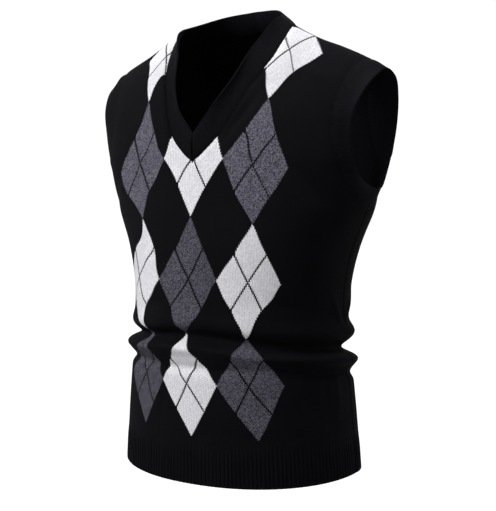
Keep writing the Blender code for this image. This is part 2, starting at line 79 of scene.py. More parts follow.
# ---------------------------------------------------------------- driving sizes
HELD_AT = np.array((0.0, -0.030, 0.566))  # between the shoulder seams beside the neck: the origin
HEM_TILT_Y = 0.076           # the hem hangs lower at the front
HEM_TILT_X = -0.036          # and lower on the wearer's left
HEM_SIDE_RISE = 0.0035       # and is drawn up at the sides
HEM_FADE = 0.150             # these die out at this height
HEM_RIB_HEIGHT = 0.055
UNDERARM_HEIGHT = 0.335
CHEST_HEIGHT = 0.400         # level 1
PANEL_HALF_WIDTH = 0.250     # a panel laid flat, from its centre line to its side seam
BACK_CUT_HEIGHT = 0.540      # the back laid flat, from the hem rib to the top of the shoulders

RINGS = table(
    "height half_width front back square",
    (0.000, 0.166, 0.132, 0.082, 2.2),
    (0.070, 0.162, 0.129, 0.080, 2.2),
    (0.140, 0.156, 0.1265, 0.079, 2.2),
    (0.200, 0.151, 0.127, 0.081, 2.2),
    (0.240, 0.153, 0.127, 0.088, 2.2),
    (0.290, 0.166, 0.125, 0.096, 2.2),
    (0.335, 0.187, 0.119, 0.103, 2.2),
    (0.400, 0.205, 0.112, 0.106, 2.2),
)
POSE = table(
    "height turn shift_x",
    (0.000, 4.5, 0.000),
    (0.140, 3.5, -0.002),
    (0.200, 3.0, -0.002),
    (0.250, 1.8, -0.001),
    (0.335, 1.0, -0.002),
    (0.400, 1.0, -0.006),
    (0.450, 2.0, -0.006),
    (0.500, 4.0, -0.004),
    (0.570, 6.0, 0.000),
    (0.620, 6.0, 0.000),
)
SHOULDER = table(
    "share x y height tilt front_full back_full",
    (0.00, 0.000, -0.020, 0.600, 0.000, 1.50, 2.1),
    (0.24, 0.060, -0.030, 0.588, 0.003, 1.50, 2.1),
    (0.39, 0.096, -0.037, 0.565, 0.004, 1.50, 2.0),
    (0.52, 0.126, -0.030, 0.550, 0.004, 1.60, 2.0),
    (0.64, 0.154, -0.018, 0.540, 0.003, 1.75, 2.0),
    (0.76, 0.182, -0.006, 0.529, 0.001, 1.90, 2.0),
    (0.87, 0.206, 0.002, 0.516, 0.000, 2.00, 2.0),
    (1.00, 0.222, 0.012, 0.475, 0.000, 2.00, 2.0),
)
NECK_FRONT = table(
    "left_share right_share level",
    (0.000, 0.000, 0.99),
    (0.075, 0.075, 1.08),
    (0.144, 0.144, 1.165),
    (0.205, 0.205, 1.28),
    (0.253, 0.252, 1.39),
    (0.308, 0.291, 1.51),
    (0.348, 0.311, 1.66),
    (0.366, 0.319, 1.82),
    (0.374, 0.327, 2.00),
)
NECK_BACK = table(
    "left_share right_share level",
    (0.000, 0.000, 1.70),
    (0.140, 0.130, 1.71),
    (0.260, 0.235, 1.775),
    (0.338, 0.300, 1.89),
    (0.374, 0.327, 2.00),
)
ARMHOLE = table(
    "climb front_share back_share level",
    (0.00, 1.000, 1.000, 0.8375),
    (0.09, 0.912, 0.905, 0.86),
    (0.20, 0.812, 0.785, 0.93),
    (0.34, 0.737, 0.700, 1.06),
    (0.52, 0.707, 0.657, 1.26),
    (0.66, 0.712, 0.665, 1.46),
    (0.80, 0.738, 0.710, 1.68),
    (1.00, 0.790, 0.790, 2.00),
)
NECK_EDGE = table(
    "run x y height right_x right_y right_height",
    (0.00, 0.000, -0.1120, 0.434, 0.000, -0.1120, 0.434),
    (0.15, 0.029, -0.1100, 0.470, -0.029, -0.1100, 0.470),
    (0.26, 0.046, -0.0980, 0.500, -0.045, -0.0985, 0.500),
    (0.42, 0.058, -0.0790, 0.540, -0.053, -0.0840, 0.540),
    (0.56, 0.074, -0.0580, 0.572, -0.064, -0.0690, 0.569),
    (0.64, 0.0765, -0.0440, 0.580, -0.068, -0.0520, 0.577),
    (0.74, 0.065, -0.0180, 0.587, -0.065, -0.0180, 0.587),
    (0.86, 0.040, 0.0130, 0.598, -0.041, 0.0130, 0.598),
    (1.00, 0.000, 0.0270, 0.602, 0.000, 0.0270, 0.602),
)
NECK_EDGE_SHOULDER = 0.63    # the run at which it passes the shoulder seam
NECK_TILT = 0.06             # the neckband stands higher on the wearer's left
ARM_EDGE = table(
    "turn x y height right_x right_y right_height",
    (0.00, 0.196, 0.025, 0.3645, -0.197, 0.026, 0.364),
    (0.10, 0.195, -0.013, 0.373, -0.196, -0.010, 0.371),
    (0.17, 0.196, -0.037, 0.395, -0.198, -0.034, 0.392),
    (0.27, 0.196, -0.048, 0.450, -0.202, -0.042, 0.450),
    (0.36, 0.201, -0.041, 0.480, -0.206, -0.036, 0.478),
    (0.45, 0.206, -0.018, 0.505, -0.210, -0.015, 0.503),
    (0.50, 0.208, 0.003, 0.515, -0.210, 0.004, 0.514),
    (0.57, 0.209, 0.030, 0.508, -0.209, 0.030, 0.507),
    (0.66, 0.206, 0.050, 0.482, -0.206, 0.050, 0.482),
    (0.76, 0.201, 0.060, 0.443, -0.201, 0.060, 0.443),
    (0.86, 0.194, 0.057, 0.400, -0.194, 0.057, 0.400),
    (0.93, 0.192, 0.044, 0.374, -0.194, 0.044, 0.374),
)

# Four folds run round the waist, where the cloth has slipped down over itself.
FOLDS = table(
    "around crest crest_push tuck tuck_push roll roll_push ledge ledge_push",
    (-2.00, 0.188, 0.003, 0.168, -0.009, 0.152, 0.007, 0.134, -0.003),
    (-1.50, 0.195, 0.003, 0.176, -0.010, 0.161, 0.008, 0.142, -0.004),
    (-1.00, 0.196, 0.004, 0.177, -0.011, 0.161, 0.009, 0.142, -0.006),
    (-0.50, 0.190, 0.003, 0.173, -0.010, 0.159, 0.008, 0.141, -0.005),
    (0.00, 0.194, 0.003, 0.178, -0.010, 0.160, 0.007, 0.136, -0.005),
    (0.45, 0.186, 0.002, 0.168, -0.009, 0.152, 0.006, 0.135, -0.003),
    (0.85, 0.181, 0.005, 0.163, -0.011, 0.147, 0.008, 0.131, -0.004),
    (1.25, 0.180, 0.007, 0.160, -0.013, 0.143, 0.008, 0.126, -0.004),
    (1.60, 0.183, 0.005, 0.164, -0.011, 0.148, 0.008, 0.130, -0.004),
    (2.00, 0.188, 0.003, 0.168, -0.009, 0.152, 0.007, 0.134, -0.003),
)
FOLD_WIDTHS = {"crest": 0.0110, "tuck": 0.0078, "roll": 0.0080, "ledge": 0.0065}

# Soft creases on top of the folds.  around and height are the middle, lean is the angle
# from a level line, and push is outward: a ridge above 0, a trough below.
CREASES = table(
    "around height lean length width push",
    (0.93, 0.207, -62.0, 0.020, 0.0050, 0.0028),
    (0.80, 0.130, 4.0, 0.050, 0.0050, -0.0018),
    (0.88, 0.098, 84.0, 0.030, 0.0060, 0.0016),
    (0.80, 0.104, 86.0, 0.026, 0.0060, -0.0014),
    (-0.16, 0.134, -12.0, 0.022, 0.0035, -0.0020),
    (0.36, 0.222, 20.0, 0.018, 0.0100, -0.0012),
    (0.20, 0.240, -15.0, 0.030, 0.0120, -0.0010),
    (-0.30, 0.215, 10.0, 0.030, 0.0070, -0.0016),
    (0.60, 0.215, -8.0, 0.050, 0.0090, -0.0016),
    (0.24, 0.452, 58.0, 0.034, 0.0060, -0.0030),
    (0.66, 0.365, -40.0, 0.040, 0.0110, -0.0022),
    (0.78, 0.330, -25.0, 0.034, 0.0100, 0.0018),
    (-0.66, 0.365, 40.0, 0.040, 0.0110, -0.0020),
    (0.58, 0.505, -20.0, 0.028, 0.0090, 0.0014),
    (-0.20, 0.095, 80.0, 0.020, 0.0060, -0.0010),
    (0.42, 0.098, 82.0, 0.022, 0.0070, -0.0010),
    (1.10, 0.212, 40.0, 0.030, 0.0060, 0.0022),
    (1.35, 0.205, 10.0, 0.060, 0.0080, -0.0020),
    (1.72, 0.214, -6.0, 0.060, 0.0080, -0.0018),
    (-1.70, 0.212, 8.0, 0.050, 0.0080, -0.0018),
    (-1.40, 0.220, 18.0, 0.040, 0.0080, -0.0020),
    (-1.12, 0.206, -48.0, 0.026, 0.0060, 0.0024),
    (1.36, 0.352, 38.0, 0.045, 0.0120, -0.0024),
    (-1.36, 0.352, -38.0, 0.045, 0.0120, -0.0024),
    (1.85, 0.300, 74.0, 0.080, 0.0160, -0.0016),
    (-1.80, 0.290, -76.0, 0.070, 0.0160, -0.0016),
    (1.60, 0.104, 84.0, 0.024, 0.0070, -0.0012),
    (-1.55, 0.108, 86.0, 0.024, 0.0070, -0.0012),
)

# How the flat knit has crept on the body.  run is the way up the cloth from the hem, and
# course the place on the flat knit that lies there; right, middle and left are how far it
# comes from the wearer's left, one column of diamonds to each side of the centre line and
# on it, and the rises how much further up it comes from, half a column beyond those.
CREEP = table(
    "run course right middle left rise_right rise_left",
    (0.000, -0.0032, -0.0030, 0.0000, -0.0050, -0.0066, -0.0004),
    (0.060, 0.058, -0.0036, 0.0000, -0.0054, -0.0106, 0.0006),
    (0.127, 0.133, 0.0050, 0.0062, 0.0040, 0.0034, -0.0004),
    (0.197, 0.208, -0.0010, 0.0140, 0.0056, 0.0034, 0.0006),
    (0.272, 0.283, 0.0150, 0.0060, 0.0005, 0.0034, 0.0041),
    (0.355, 0.358, 0.0000, 0.0000, 0.0006, 0.0099, 0.0256),
    (0.431, 0.433, -0.0008, -0.0008, 0.0046, 0.0219, 0.0181),
    (0.506, 0.508, -0.0016, 0.0000, -0.0024, -0.0006, 0.0096),
    (0.563, 0.581, -0.0103, 0.0000, -0.0010, 0.0034, -0.0034),
    (0.643, 0.653, -0.0103, 0.0000, -0.0010, 0.0034, -0.0034),
)
FIRST_TIP = 0.058            # the lowest tips of the diamonds on the flat knit
PATTERN_SIDE = 1.5           # from the centre line to the side of the pattern, in diamonds

# Small pulls on top of that: across and run are the middle of the pulled patch and reach its
# size, and the rest how far the knit there comes from the wearer's left and from above.
PULLS = table(
    "across run reach from_left from_above",
    (0.084, 0.548, 0.024, -0.0095, -0.0120),
    (0.104, 0.572, 0.018, -0.0040, -0.0020),
    (0.125, 0.600, 0.022, -0.0050, 0.0080),
    (0.092, 0.598, 0.021, -0.0115, -0.0010),
    (0.120, 0.530, 0.020, 0.0040, -0.0050),
    (0.088, 0.415, 0.034, 0.0000, 0.0060),
    (0.084, 0.457, 0.022, -0.0050, 0.0010),
    (0.067, 0.474, 0.018, 0.0020, 0.0033),
    (0.088, 0.373, 0.020, 0.0035, 0.0005),
    (0.132, 0.405, 0.014, -0.0020, -0.0030),
    (0.110, 0.230, 0.020, 0.0050, -0.0035),
    (0.104, 0.214, 0.010, 0.0018, 0.0000),
    (0.079, 0.214, 0.011, -0.0030, -0.0020),
    (0.062, 0.230, 0.018, -0.0035, -0.0030),
    (0.075, 0.302, 0.018, -0.0020, 0.0035),
    (0.137, 0.261, 0.015, 0.0030, 0.0010),
    (0.062, 0.157, 0.014, -0.0030, 0.0010),
    (0.110, 0.158, 0.014, 0.0030, -0.0015),
    (-0.036, 0.459, 0.015, 0.0055, -0.0030),
    (0.035, 0.456, 0.015, -0.0025, -0.0015),
    (-0.028, 0.410, 0.026, 0.0000, -0.0050),
    (0.006, 0.272, 0.040, -0.0050, -0.0040),
    (-0.032, 0.234, 0.022, 0.0050, -0.0030),
    (-0.012, 0.200, 0.014, 0.0020, -0.0040),
    (-0.016, 0.154, 0.024, 0.0060, 0.0045),
    (-0.095, 0.550, 0.024, 0.0030, -0.0115),
    (-0.078, 0.545, 0.016, 0.0075, -0.0080),
    (-0.083, 0.576, 0.014, 0.0000, -0.0040),
    (-0.112, 0.560, 0.014, -0.0030, -0.0010),
    (0.019, 0.239, 0.016, -0.0025, -0.0035),
    (0.112, 0.454, 0.016, -0.0010, 0.0030),
    (-0.044, 0.153, 0.012, 0.0050, 0.0020),
    (-0.084, 0.525, 0.011, 0.0045, -0.0030),
    (-0.096, 0.552, 0.016, -0.0050, 0.0015),
    (-0.090, 0.482, 0.020, -0.0070, 0.0040),
    (-0.088, 0.424, 0.012, 0.0030, -0.0040),
    (-0.104, 0.450, 0.032, -0.0095, 0.0045),
    (-0.078, 0.387, 0.018, 0.0060, 0.0000),
    (-0.134, 0.382, 0.032, 0.0110, 0.0030),
    (-0.101, 0.328, 0.018, -0.0080, 0.0040),
    (-0.068, 0.309, 0.018, -0.0080, 0.0000),
    (-0.108, 0.234, 0.032, 0.0210, -0.0055),
    (-0.150, 0.240, 0.034, 0.0190, 0.0000),
    (-0.074, 0.211, 0.020, -0.0080, -0.0160),
    (-0.088, 0.130, 0.020, -0.0070, -0.0050),
    (0.104, 0.474, 0.015, 0.0014, 0.0009),
    (0.123, 0.432, 0.020, -0.0027, -0.0017),
    (0.070, 0.462, 0.024, -0.0022, 0.0013),
    (0.077, 0.405, 0.016, 0.0017, -0.0010),
    (-0.076, 0.484, 0.022, 0.0036, 0.0022),
    (-0.054, 0.446, 0.020, 0.0023, 0.0014),
    (-0.112, 0.444, 0.014, 0.0016, -0.0010),
    (-0.081, 0.540, 0.014, 0.0040, -0.0024),
    (-0.087, 0.518, 0.012, 0.0016, -0.0010),
    (0.063, 0.382, 0.020, 0.0032, 0.0020),
    (0.014, 0.381, 0.028, 0.0017, -0.0010),
    (0.055, 0.441, 0.016, -0.0020, 0.0012),
    (0.085, 0.485, 0.010, -0.0016, 0.0010),
    (-0.020, 0.322, 0.018, -0.0019, 0.0012),
    (0.084, 0.332, 0.014, -0.0013, 0.0008),
    (0.108, 0.376, 0.020, 0.0011, -0.0007),
    (-0.070, 0.266, 0.018, 0.0028, -0.0018),
    (-0.114, 0.308, 0.024, -0.0050, 0.0030),
    (-0.168, 0.288, 0.032, -0.0190, 0.0000),
    (-0.096, 0.335, 0.016, -0.0026, 0.0016),
    (-0.072, 0.328, 0.010, -0.0022, -0.0014),
    (0.036, 0.267, 0.012, 0.0024, -0.0015),
    (0.012, 0.231, 0.014, -0.0018, 0.0011),
    (-0.036, 0.238, 0.014, -0.0020, -0.0012),
)

# ---------------------------------------------------------------- how finely it is divided
LEVEL_STEPS = 240
SHARE_STEPS = 300
PANEL_COLUMNS = 84           # from the centre line nearly to the side
LAST_EVEN_COLUMN = 0.975
SEAM_COLUMNS = (0.985, 0.992, 0.997)
RISE_ROWS = (20, 56)         # rows from the underarm to the neck, of the front and of the back
NECK_ROWS = (68, 30)         # and from there to the shoulders
MITRE_STEPS = (0.0007, 0.0016, 0.0027)  # the first rows of the neck's V, beside its mitre
PLAIN_ROWS_BELOW = (HEM_RIB_HEIGHT, 0.0575, 0.060, 0.063, 0.067, 0.071, 0.075, 0.080, 0.085,
                    0.090, 0.095, 0.100, 0.105, 0.1095, 0.114)
FOLD_LINES = ("ledge", "roll", "tuck", "crest")
FOLD_ROWS = (9, 9, 8, 9, 7)
ABOVE_FOLDS = 0.210
PLAIN_ROWS_ABOVE = 38
RING_SAMPLES = 721
SEAM_SAMPLES = 900
SHOULDER_SEAM_STEPS = 60


def smooth(known, values, at):
    """Pass a smooth curve through values at known places and read it at others."""
    slopes = np.gradient(values, known)
    at = np.clip(at, known[0], known[-1])
    cell = np.clip(np.searchsorted(known, at, side="right") - 1, 0, len(known) - 2)
    width = known[cell + 1] - known[cell]
    t = (at - known[cell]) / width
    start = (1 + 2 * t) * (1 - t) ** 2 * values[cell] + t * (1 - t) ** 2 * width * slopes[cell]
    end = t * t * (3 - 2 * t) * values[cell + 1] + t * t * (t - 1) * width * slopes[cell + 1]
    return start + end


def ease(t):
    """A soft step from 0 to 1."""
    t = t.clip(0.0, 1.0)
    return t * t * (3 - 2 * t)


def unit(vectors):
    """Scale vectors to length 1."""
    return vectors / np.linalg.norm(vectors, axis=-1, keepdims=True)


def run_along(points):
    """Return how far along a line each of its points is, or along many lines at once."""
    steps = np.linalg.norm(np.diff(points, axis=0), axis=-1)
    return np.cumsum(np.concatenate((np.zeros_like(steps[:1]), steps)), axis=0)


def hand_of(right):
    """The sign of a share on one side."""
    return -1.0 if right else 1.0


# ---------------------------------------------------------------- the form
FORM_SHARES = np.linspace(0.0, 1.0, SHARE_STEPS + 1)


def half_ring(width, depth, square):
    """Return the quarter from the centre line to the side at even steps along the cloth."""
    angle = np.linspace(0.0, math.pi / 2, RING_SAMPLES)
    across = width * np.sin(angle) ** (2 / square)
    out = depth * np.cos(angle).clip(0.0) ** (2 / square)
    run = run_along(np.stack((across, out), axis=1))
    run = run / run[-1]
    return np.interp(FORM_SHARES, run, across), np.interp(FORM_SHARES, run, out)


def posed(points):
    """Turn and shift places round the body by their height."""
    heights = points[..., 2]
    angle = np.radians(smooth(POSE["height"], POSE["turn"], heights))
    x = points[..., 0] * np.cos(angle) - points[..., 1] * np.sin(angle)
    y = points[..., 0] * np.sin(angle) + points[..., 1] * np.cos(angle)
    fade = (1.0 - heights / HEM_FADE).clip(0.0) ** 2
    side = points[..., 0] / RINGS["half_width"][0]
    hang = HEM_TILT_Y * y + HEM_TILT_X * x + HEM_SIDE_RISE * side ** 2
    x = x + smooth(POSE["height"], POSE["shift_x"], heights)
    return np.stack((x, y, heights + hang * fade), axis=-1)


def form_quarter(back, right):
    """Return one quarter of the form as positions by level and share."""
    levels = np.linspace(0.0, CHEST_HEIGHT, LEVEL_STEPS + 1)
    wanted = ("half_width", "back" if back else "front", "square")
    sizes = [smooth(RINGS["height"], RINGS[name], levels) for name in wanted]
    points = np.zeros((2 * LEVEL_STEPS + 1, SHARE_STEPS + 1, 3))
    for step, (width, depth, square) in enumerate(zip(*sizes)):
        across, out = half_ring(width, depth, square)
        points[step] = np.stack((across, out if back else -out, np.full_like(out, levels[step])), axis=1)
    top = SHOULDER["height"] + SHOULDER["tilt"] * hand_of(right)
    wanted = (SHOULDER["x"], SHOULDER["y"], top, SHOULDER["back_full" if back else "front_full"])
    x, y, top, full = [smooth(SHOULDER["share"], value, FORM_SHARES) for value in wanted]
    start = points[LEVEL_STEPS]
    end = np.stack((x, y, top), axis=1)
    for step in range(1, LEVEL_STEPS + 1):
        angle = math.pi / 2 * step / LEVEL_STEPS
        closing = 1.0 - max(math.cos(angle), 0.0) ** (2 / full)
        rising = math.sin(angle) ** (2 / full)
        points[LEVEL_STEPS + step] = start + (end - start) * np.stack((closing, closing, rising), axis=1)
    points[..., 0] *= hand_of(right)
    return posed(points)


FORM = [np.array([form_quarter(back, right) for right in (False, True)]) for back in (False, True)]


def read_form(form, share, level):
    """Read values that are known by level and share, one set for each hand, between their steps."""
    across = np.abs(share).clip(0.0, 1.0) * SHARE_STEPS
    up = level.clip(0.0, 2.0) * LEVEL_STEPS
    column = np.minimum(across.astype(int), SHARE_STEPS - 1)
    row = np.minimum(up.astype(int), 2 * LEVEL_STEPS - 1)
    s = across - column
    t = up - row
    if form.ndim == 4:
        s, t = s[..., None], t[..., None]
    hand = (share < 0).astype(int)
    low = form[hand, row, column] * (1 - s) + form[hand, row, column + 1] * s
    high = form[hand, row + 1, column] * (1 - s) + form[hand, row + 1, column + 1] * s
    return low * (1 - t) + high * t


def fold_push(around, height):
    """Return how far the folds move the cloth outward."""
    total = np.zeros_like(height)
    for fold, width in FOLD_WIDTHS.items():
        away = (height - smooth(FOLDS["around"], FOLDS[fold], around)) / width
        total = total + smooth(FOLDS["around"], FOLDS[fold + "_push"], around) * np.exp(-away * away)
    return total


def crease_push(around, height):
    """Return how far the soft creases move the cloth outward."""
    total = np.zeros_like(height)
    for middle, middle_height, lean, length, width, push in zip(*CREASES.values()):
        across = ((around - middle + 2.0) % 4.0 - 2.0) * PANEL_HALF_WIDTH
        up = height - middle_height
        lean = math.radians(lean)
        along = (across * math.cos(lean) + up * math.sin(lean)) / length
        aside_of = (up * math.cos(lean) - across * math.sin(lean)) / width
        total = total + push * np.exp(-along * along - aside_of * aside_of)
    return total


NORMAL_STEP = 0.008          # in shares and levels, for the slope of the form
SEAM_ZONE = 0.03             # this near to a side or shoulder seam, two pieces turn to one direction


def form_normal(back, share, level):
    """Return the outward direction of the form."""
    form = FORM[back]
    share = share.clip(-1 + NORMAL_STEP, 1 - NORMAL_STEP)
    level = level.clip(NORMAL_STEP, 2 - NORMAL_STEP)
    along = read_form(form, share + NORMAL_STEP, level) - read_form(form, share - NORMAL_STEP, level)
    rise = read_form(form, share, level + NORMAL_STEP) - read_form(form, share, level - NORMAL_STEP)
    return unit(np.cross(rise, along) if back else np.cross(along, rise))


def seam_normal(back, share, level):
    """Return the outward direction, the same for both pieces at side and shoulder seams."""
    near_side = 1.0 - (1.0 - np.abs(share)) / SEAM_ZONE
    near_top = 1.0 - (2.0 - level) / SEAM_ZONE
    blend = (0.5 * np.maximum(near_side, near_top).clip(0.0, 1.0) ** 2)[..., None]
    return unit(form_normal(back, share, level) * (1 - blend) + form_normal(not back, share, level) * blend)


SEAM_DIP = 0.0006            # how far a sewn seam pulls the cloth in
SEAM_DIP_WIDTH = 0.0022


def around_body(back, share):
    """Where a share is round the body: 0 in front, 1 and -1 at the sides, 2 and -2 behind."""
    return np.copysign(2.0 - np.abs(share), share) if back else share


def cloth(back, share, level):
    """The cloth's outside, with its folds, creases and drawn-in side seams, and its outward direction."""
    place = read_form(FORM[back], share, level)
    normals = seam_normal(back, share, level)
    around = around_body(back, share)
    push = fold_push(around, place[..., 2]) + crease_push(around, place[..., 2])
    beside = (1.0 - np.abs(share)) * PANEL_HALF_WIDTH / SEAM_DIP_WIDTH
    push = push - SEAM_DIP * np.exp(-beside * beside)
    return place + normals * push[..., None], normals


def run_up(back, hand):
    """Return the way up the folded cloth from the hem, by level and share, for one hand."""
    share, level = np.meshgrid(FORM_SHARES * hand, np.linspace(0.0, 2.0, 2 * LEVEL_STEPS + 1))
    place = read_form(FORM[back], share, level)
    push = fold_push(around_body(back, share), place[..., 2])
    return run_along(place + form_normal(back, share, level) * push[..., None])


RUNS = [np.array([run_up(back, hand) for hand in (1.0, -1.0)]) for back in (False, True)]


def on_flat_knit(back, share, level, diamond_width):
    """Return where a place of the cloth lies on the flat knit: across and up."""
    across = share * PANEL_HALF_WIDTH
    run = read_form(RUNS[back], share, level)
    if back:
        return across, run
    known, *values = CREEP.values()
    course, right, middle, left, rise_right, rise_left = [smooth(known, value, run) for value in values]
    t = (across / diamond_width).clip(-PATTERN_SIDE, PATTERN_SIDE)
    slip = middle + (left - right) / 2 * t + (left + right - 2 * middle) / 2 * t * t
    rise = np.where(t < 0, rise_right, rise_left) * (t / PATTERN_SIDE) ** 2
    for middle, middle_run, reach, pull_across, pull_up in zip(*PULLS.values()):
        near = np.exp(-((across - middle) ** 2 + (run - middle_run) ** 2) / reach ** 2)
        slip = slip + pull_across * near
        rise = rise + pull_up * near
    return across + slip, course + rise


# ---------------------------------------------------------------- stations along seams
def body_heights(around):
    """Heights of the body's rows at places round the body, rows by places."""
    lines = [smooth(FOLDS["around"], FOLDS[line], around) for line in FOLD_LINES]
    level = np.ones_like(around)
    anchors = [level * PLAIN_ROWS_BELOW[-1], *lines, level * ABOVE_FOLDS]
    rows = [level * height for height in PLAIN_ROWS_BELOW]
    for low, high, steps in zip(anchors, anchors[1:], FOLD_ROWS):
        rows += [low + (high - low) * step / steps for step in range(1, steps + 1)]
    for step in range(1, PLAIN_ROWS_ABOVE + 1):
        rows.append(level * (ABOVE_FOLDS + (UNDERARM_HEIGHT - ABOVE_FOLDS) * step / PLAIN_ROWS_ABOVE))
    return np.array(rows)


def stations(back, share, level, count, first=()):
    """Pick stations along a seam, the first ones at given runs and the rest at even distances.

    Returns their shares and levels, and how far along the seam they are, from 0 to 1.
    """
    run = run_along(cloth(back, share, level)[0])
    even = np.linspace(first[-1] if first else 0.0, run[-1], count + 1 - len(first))
    at = np.concatenate(([0.0], first, even[1:]))
    return np.interp(at, run, share), np.interp(at, run, level), at / run[-1]


def neck_stations(back, right):
    """Stations from the middle of the neck seam to the shoulder of one side."""
    seam = NECK_BACK if back else NECK_FRONT
    shares = seam["right_share" if right else "left_share"]
    at = np.linspace(0.0, shares[-1], SEAM_SAMPLES)
    level = smooth(shares, seam["level"], at)
    return stations(back, at * hand_of(right), level, NECK_ROWS[back], () if back else MITRE_STEPS)


def armhole_stations(back, right):
    """Stations from the underarm up the armhole seam to the shoulder of one side."""
    at = np.linspace(0.0, 1.0, SEAM_SAMPLES)
    share = smooth(ARMHOLE["climb"], ARMHOLE["back_share" if back else "front_share"], at)
    level = smooth(ARMHOLE["climb"], ARMHOLE["level"], at)
    return stations(back, share * hand_of(right), level, RISE_ROWS[back] + NECK_ROWS[back])


def slope_along(points, closed):
    """The way along a line of points, or along many rows of them, which closed makes a ring."""
    if not closed:
        return np.gradient(points, axis=-2)
    ring = np.concatenate((points[..., -2:-1, :], points, points[..., 1:2, :]), axis=-2)
    return np.gradient(ring, axis=-2)[..., 1:-1, :]


def aside(path, inside, normals, closed):
    """Directions square to a seam, in the cloth, toward the inside points."""
    along = unit(slope_along(path, closed))
    way = inside - path
    way = way - along * np.sum(way * along, axis=-1, keepdims=True)
    way = way - normals * np.sum(way * normals, axis=-1, keepdims=True)
    return unit(way)


# ---------------------------------------------------------------- meshes
KNIT_MAP = "flat_knit"
PAINTED_SHADE_MAP = "painted_seam_shade"             # how much painted shade each point has in the furrow of a sewn seam, from 0 to 1
CUT_ANGLE = math.radians(50)     # a cloth edge sharper than this is shaded as a cut edge
EDGE_TURNS = 7                   # rows round the free edge of a band or of the hem


def make_piece(name, points, faces, flat, material, painted_seam_shade=None):
    """Make one mesh object in the row's frame, with its places on the flat knit as its UV map."""
    mesh = bpy.data.meshes.new(name)
    mesh.from_pydata((points - HELD_AT).tolist(), [], faces)
    if flat is not None:
        layer = mesh.uv_layers.new(name=KNIT_MAP)
        corners = np.empty(len(mesh.loops), dtype=np.int32)
        mesh.loops.foreach_get("vertex_index", corners)
        layer.data.foreach_set("uv", flat[corners].astype(np.float32).ravel())
    # the painted shade of the seams' furrows, kept on each point
    if painted_seam_shade is not None:
        layer = mesh.attributes.new(PAINTED_SHADE_MAP, "FLOAT", "POINT")
        layer.data.foreach_set("value", painted_seam_shade.astype(np.float32).ravel())
    mesh.materials.append(material)
    mesh.validate()
    mesh.update()
    mesh.shade_smooth()
    mesh.set_sharp_from_angle(angle=CUT_ANGLE)
    piece = bpy.data.objects.new(name, mesh)
    bpy.context.collection.objects.link(piece)
    return piece


def grid_quads(grid, flip):
    """Quads between the rows and columns of a grid of vertex numbers."""
    quads = np.stack((grid[:-1, :-1], grid[:-1, 1:], grid[1:, 1:], grid[1:, :-1]), axis=-1).reshape(-1, 4)
    return quads[:, ::-1] if flip else quads


def rim_quads(quads, count):
    """Quads from each free edge of a sheet to the same edge of its inside."""
    starts = np.roll(quads, 1, axis=1).ravel()
    ends = quads.ravel()
    free = ~np.isin(starts * count + ends, ends * count + starts)
    a, b = starts[free], ends[free]
    return np.stack((b, a, a + count, b + count), axis=1)


def thicken(outer, normals, quads, wall):
    """Close a sheet into a shell: the inside turned over and a rim along every free edge."""
    count = len(outer)
    points = np.concatenate((outer, outer - normals * wall))
    faces = np.concatenate((quads, quads[:, ::-1] + count, rim_quads(quads, count)))
    return points, faces.tolist()


def dress(piece, node):
    """Put a piece of cloth in place of its solid: attach it to the root and hide the solid."""
    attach(piece, "root")
    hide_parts(node)


def free_edge(outside, inside, out, down, thick, wall):
    """Join a wall's outside and inside rows by a soft rounded free edge below the last outside row."""
    heart = outside[-1] - out * thick / 2 - down * wall / 2
    outside[-1] = heart + out * thick / 2
    inside[-1] = heart - out * thick / 2
    turns = np.linspace(0.0, math.pi, EDGE_TURNS + 2)[1:-1, None, None]
    edge_rows = heart + out * np.cos(turns) * thick / 2 + down * np.sin(turns) * wall / 2
    return np.concatenate((outside, edge_rows, inside[::-1]))


def make_tube(name, rows, flip, ends, flat, material, painted_seam_shade=None):
    """Make a piece whose rows run round its wall, with caps on its ends if it has any."""
    grid = np.arange(rows[..., 0].size).reshape(rows.shape[:2])
    grid = np.concatenate((grid, grid[:1]))
    faces = grid_quads(grid, flip).tolist()
    if ends:
        for column, turned in ((0, flip), (-1, not flip)):
            cap = grid[:-1, column].tolist()
            faces.append(cap if turned else cap[::-1])
    flat = np.stack(np.meshgrid(*flat), axis=-1).reshape(-1, 2)
    return make_piece(name, rows.reshape(-1, 3), faces, flat, material, painted_seam_shade)


# ---------------------------------------------------------------- panels
FRONT_CUT = (2 * PANEL_HALF_WIDTH, float(CREEP["course"][-2]) - HEM_RIB_HEIGHT)
BACK_CUT = (2 * PANEL_HALF_WIDTH, BACK_CUT_HEIGHT)
WHOLE_CUT = 0.999            # the most of its flat rectangle that a panel's area is stated as


def panel_half(back, right, diamond_width):
    """One half of a panel: outer points, normals, places on the flat knit and the neck's row."""
    neck_share, neck_level, _ = neck_stations(back, right)
    arm_share, arm_level, _ = armhole_stations(back, right)
    across = np.concatenate((np.linspace(0.0, LAST_EVEN_COLUMN, PANEL_COLUMNS), SEAM_COLUMNS, [1.0]))
    hand = hand_of(right)
    body = body_heights((2.0 - across if back else across) * hand) / CHEST_HEIGHT
    rise = np.linspace(body[-1, 0], neck_level[0], RISE_ROWS[back] + 1)
    in_share = np.concatenate((np.zeros(RISE_ROWS[back]), neck_share[1:]))[:, None] * hand
    in_level = np.concatenate((rise[1:], neck_level[1:]))[:, None]
    share = in_share + (arm_share[1:, None] * hand - in_share) * across
    level = in_level + (arm_level[1:, None] - in_level) * across
    share = np.concatenate((np.tile(across, (len(body), 1)), share)) * hand
    level = np.concatenate((body, level))
    flat = np.stack(on_flat_knit(back, share, level, diamond_width), axis=-1)
    return *cloth(back, share, level), flat, len(body) - 1 + RISE_ROWS[back]


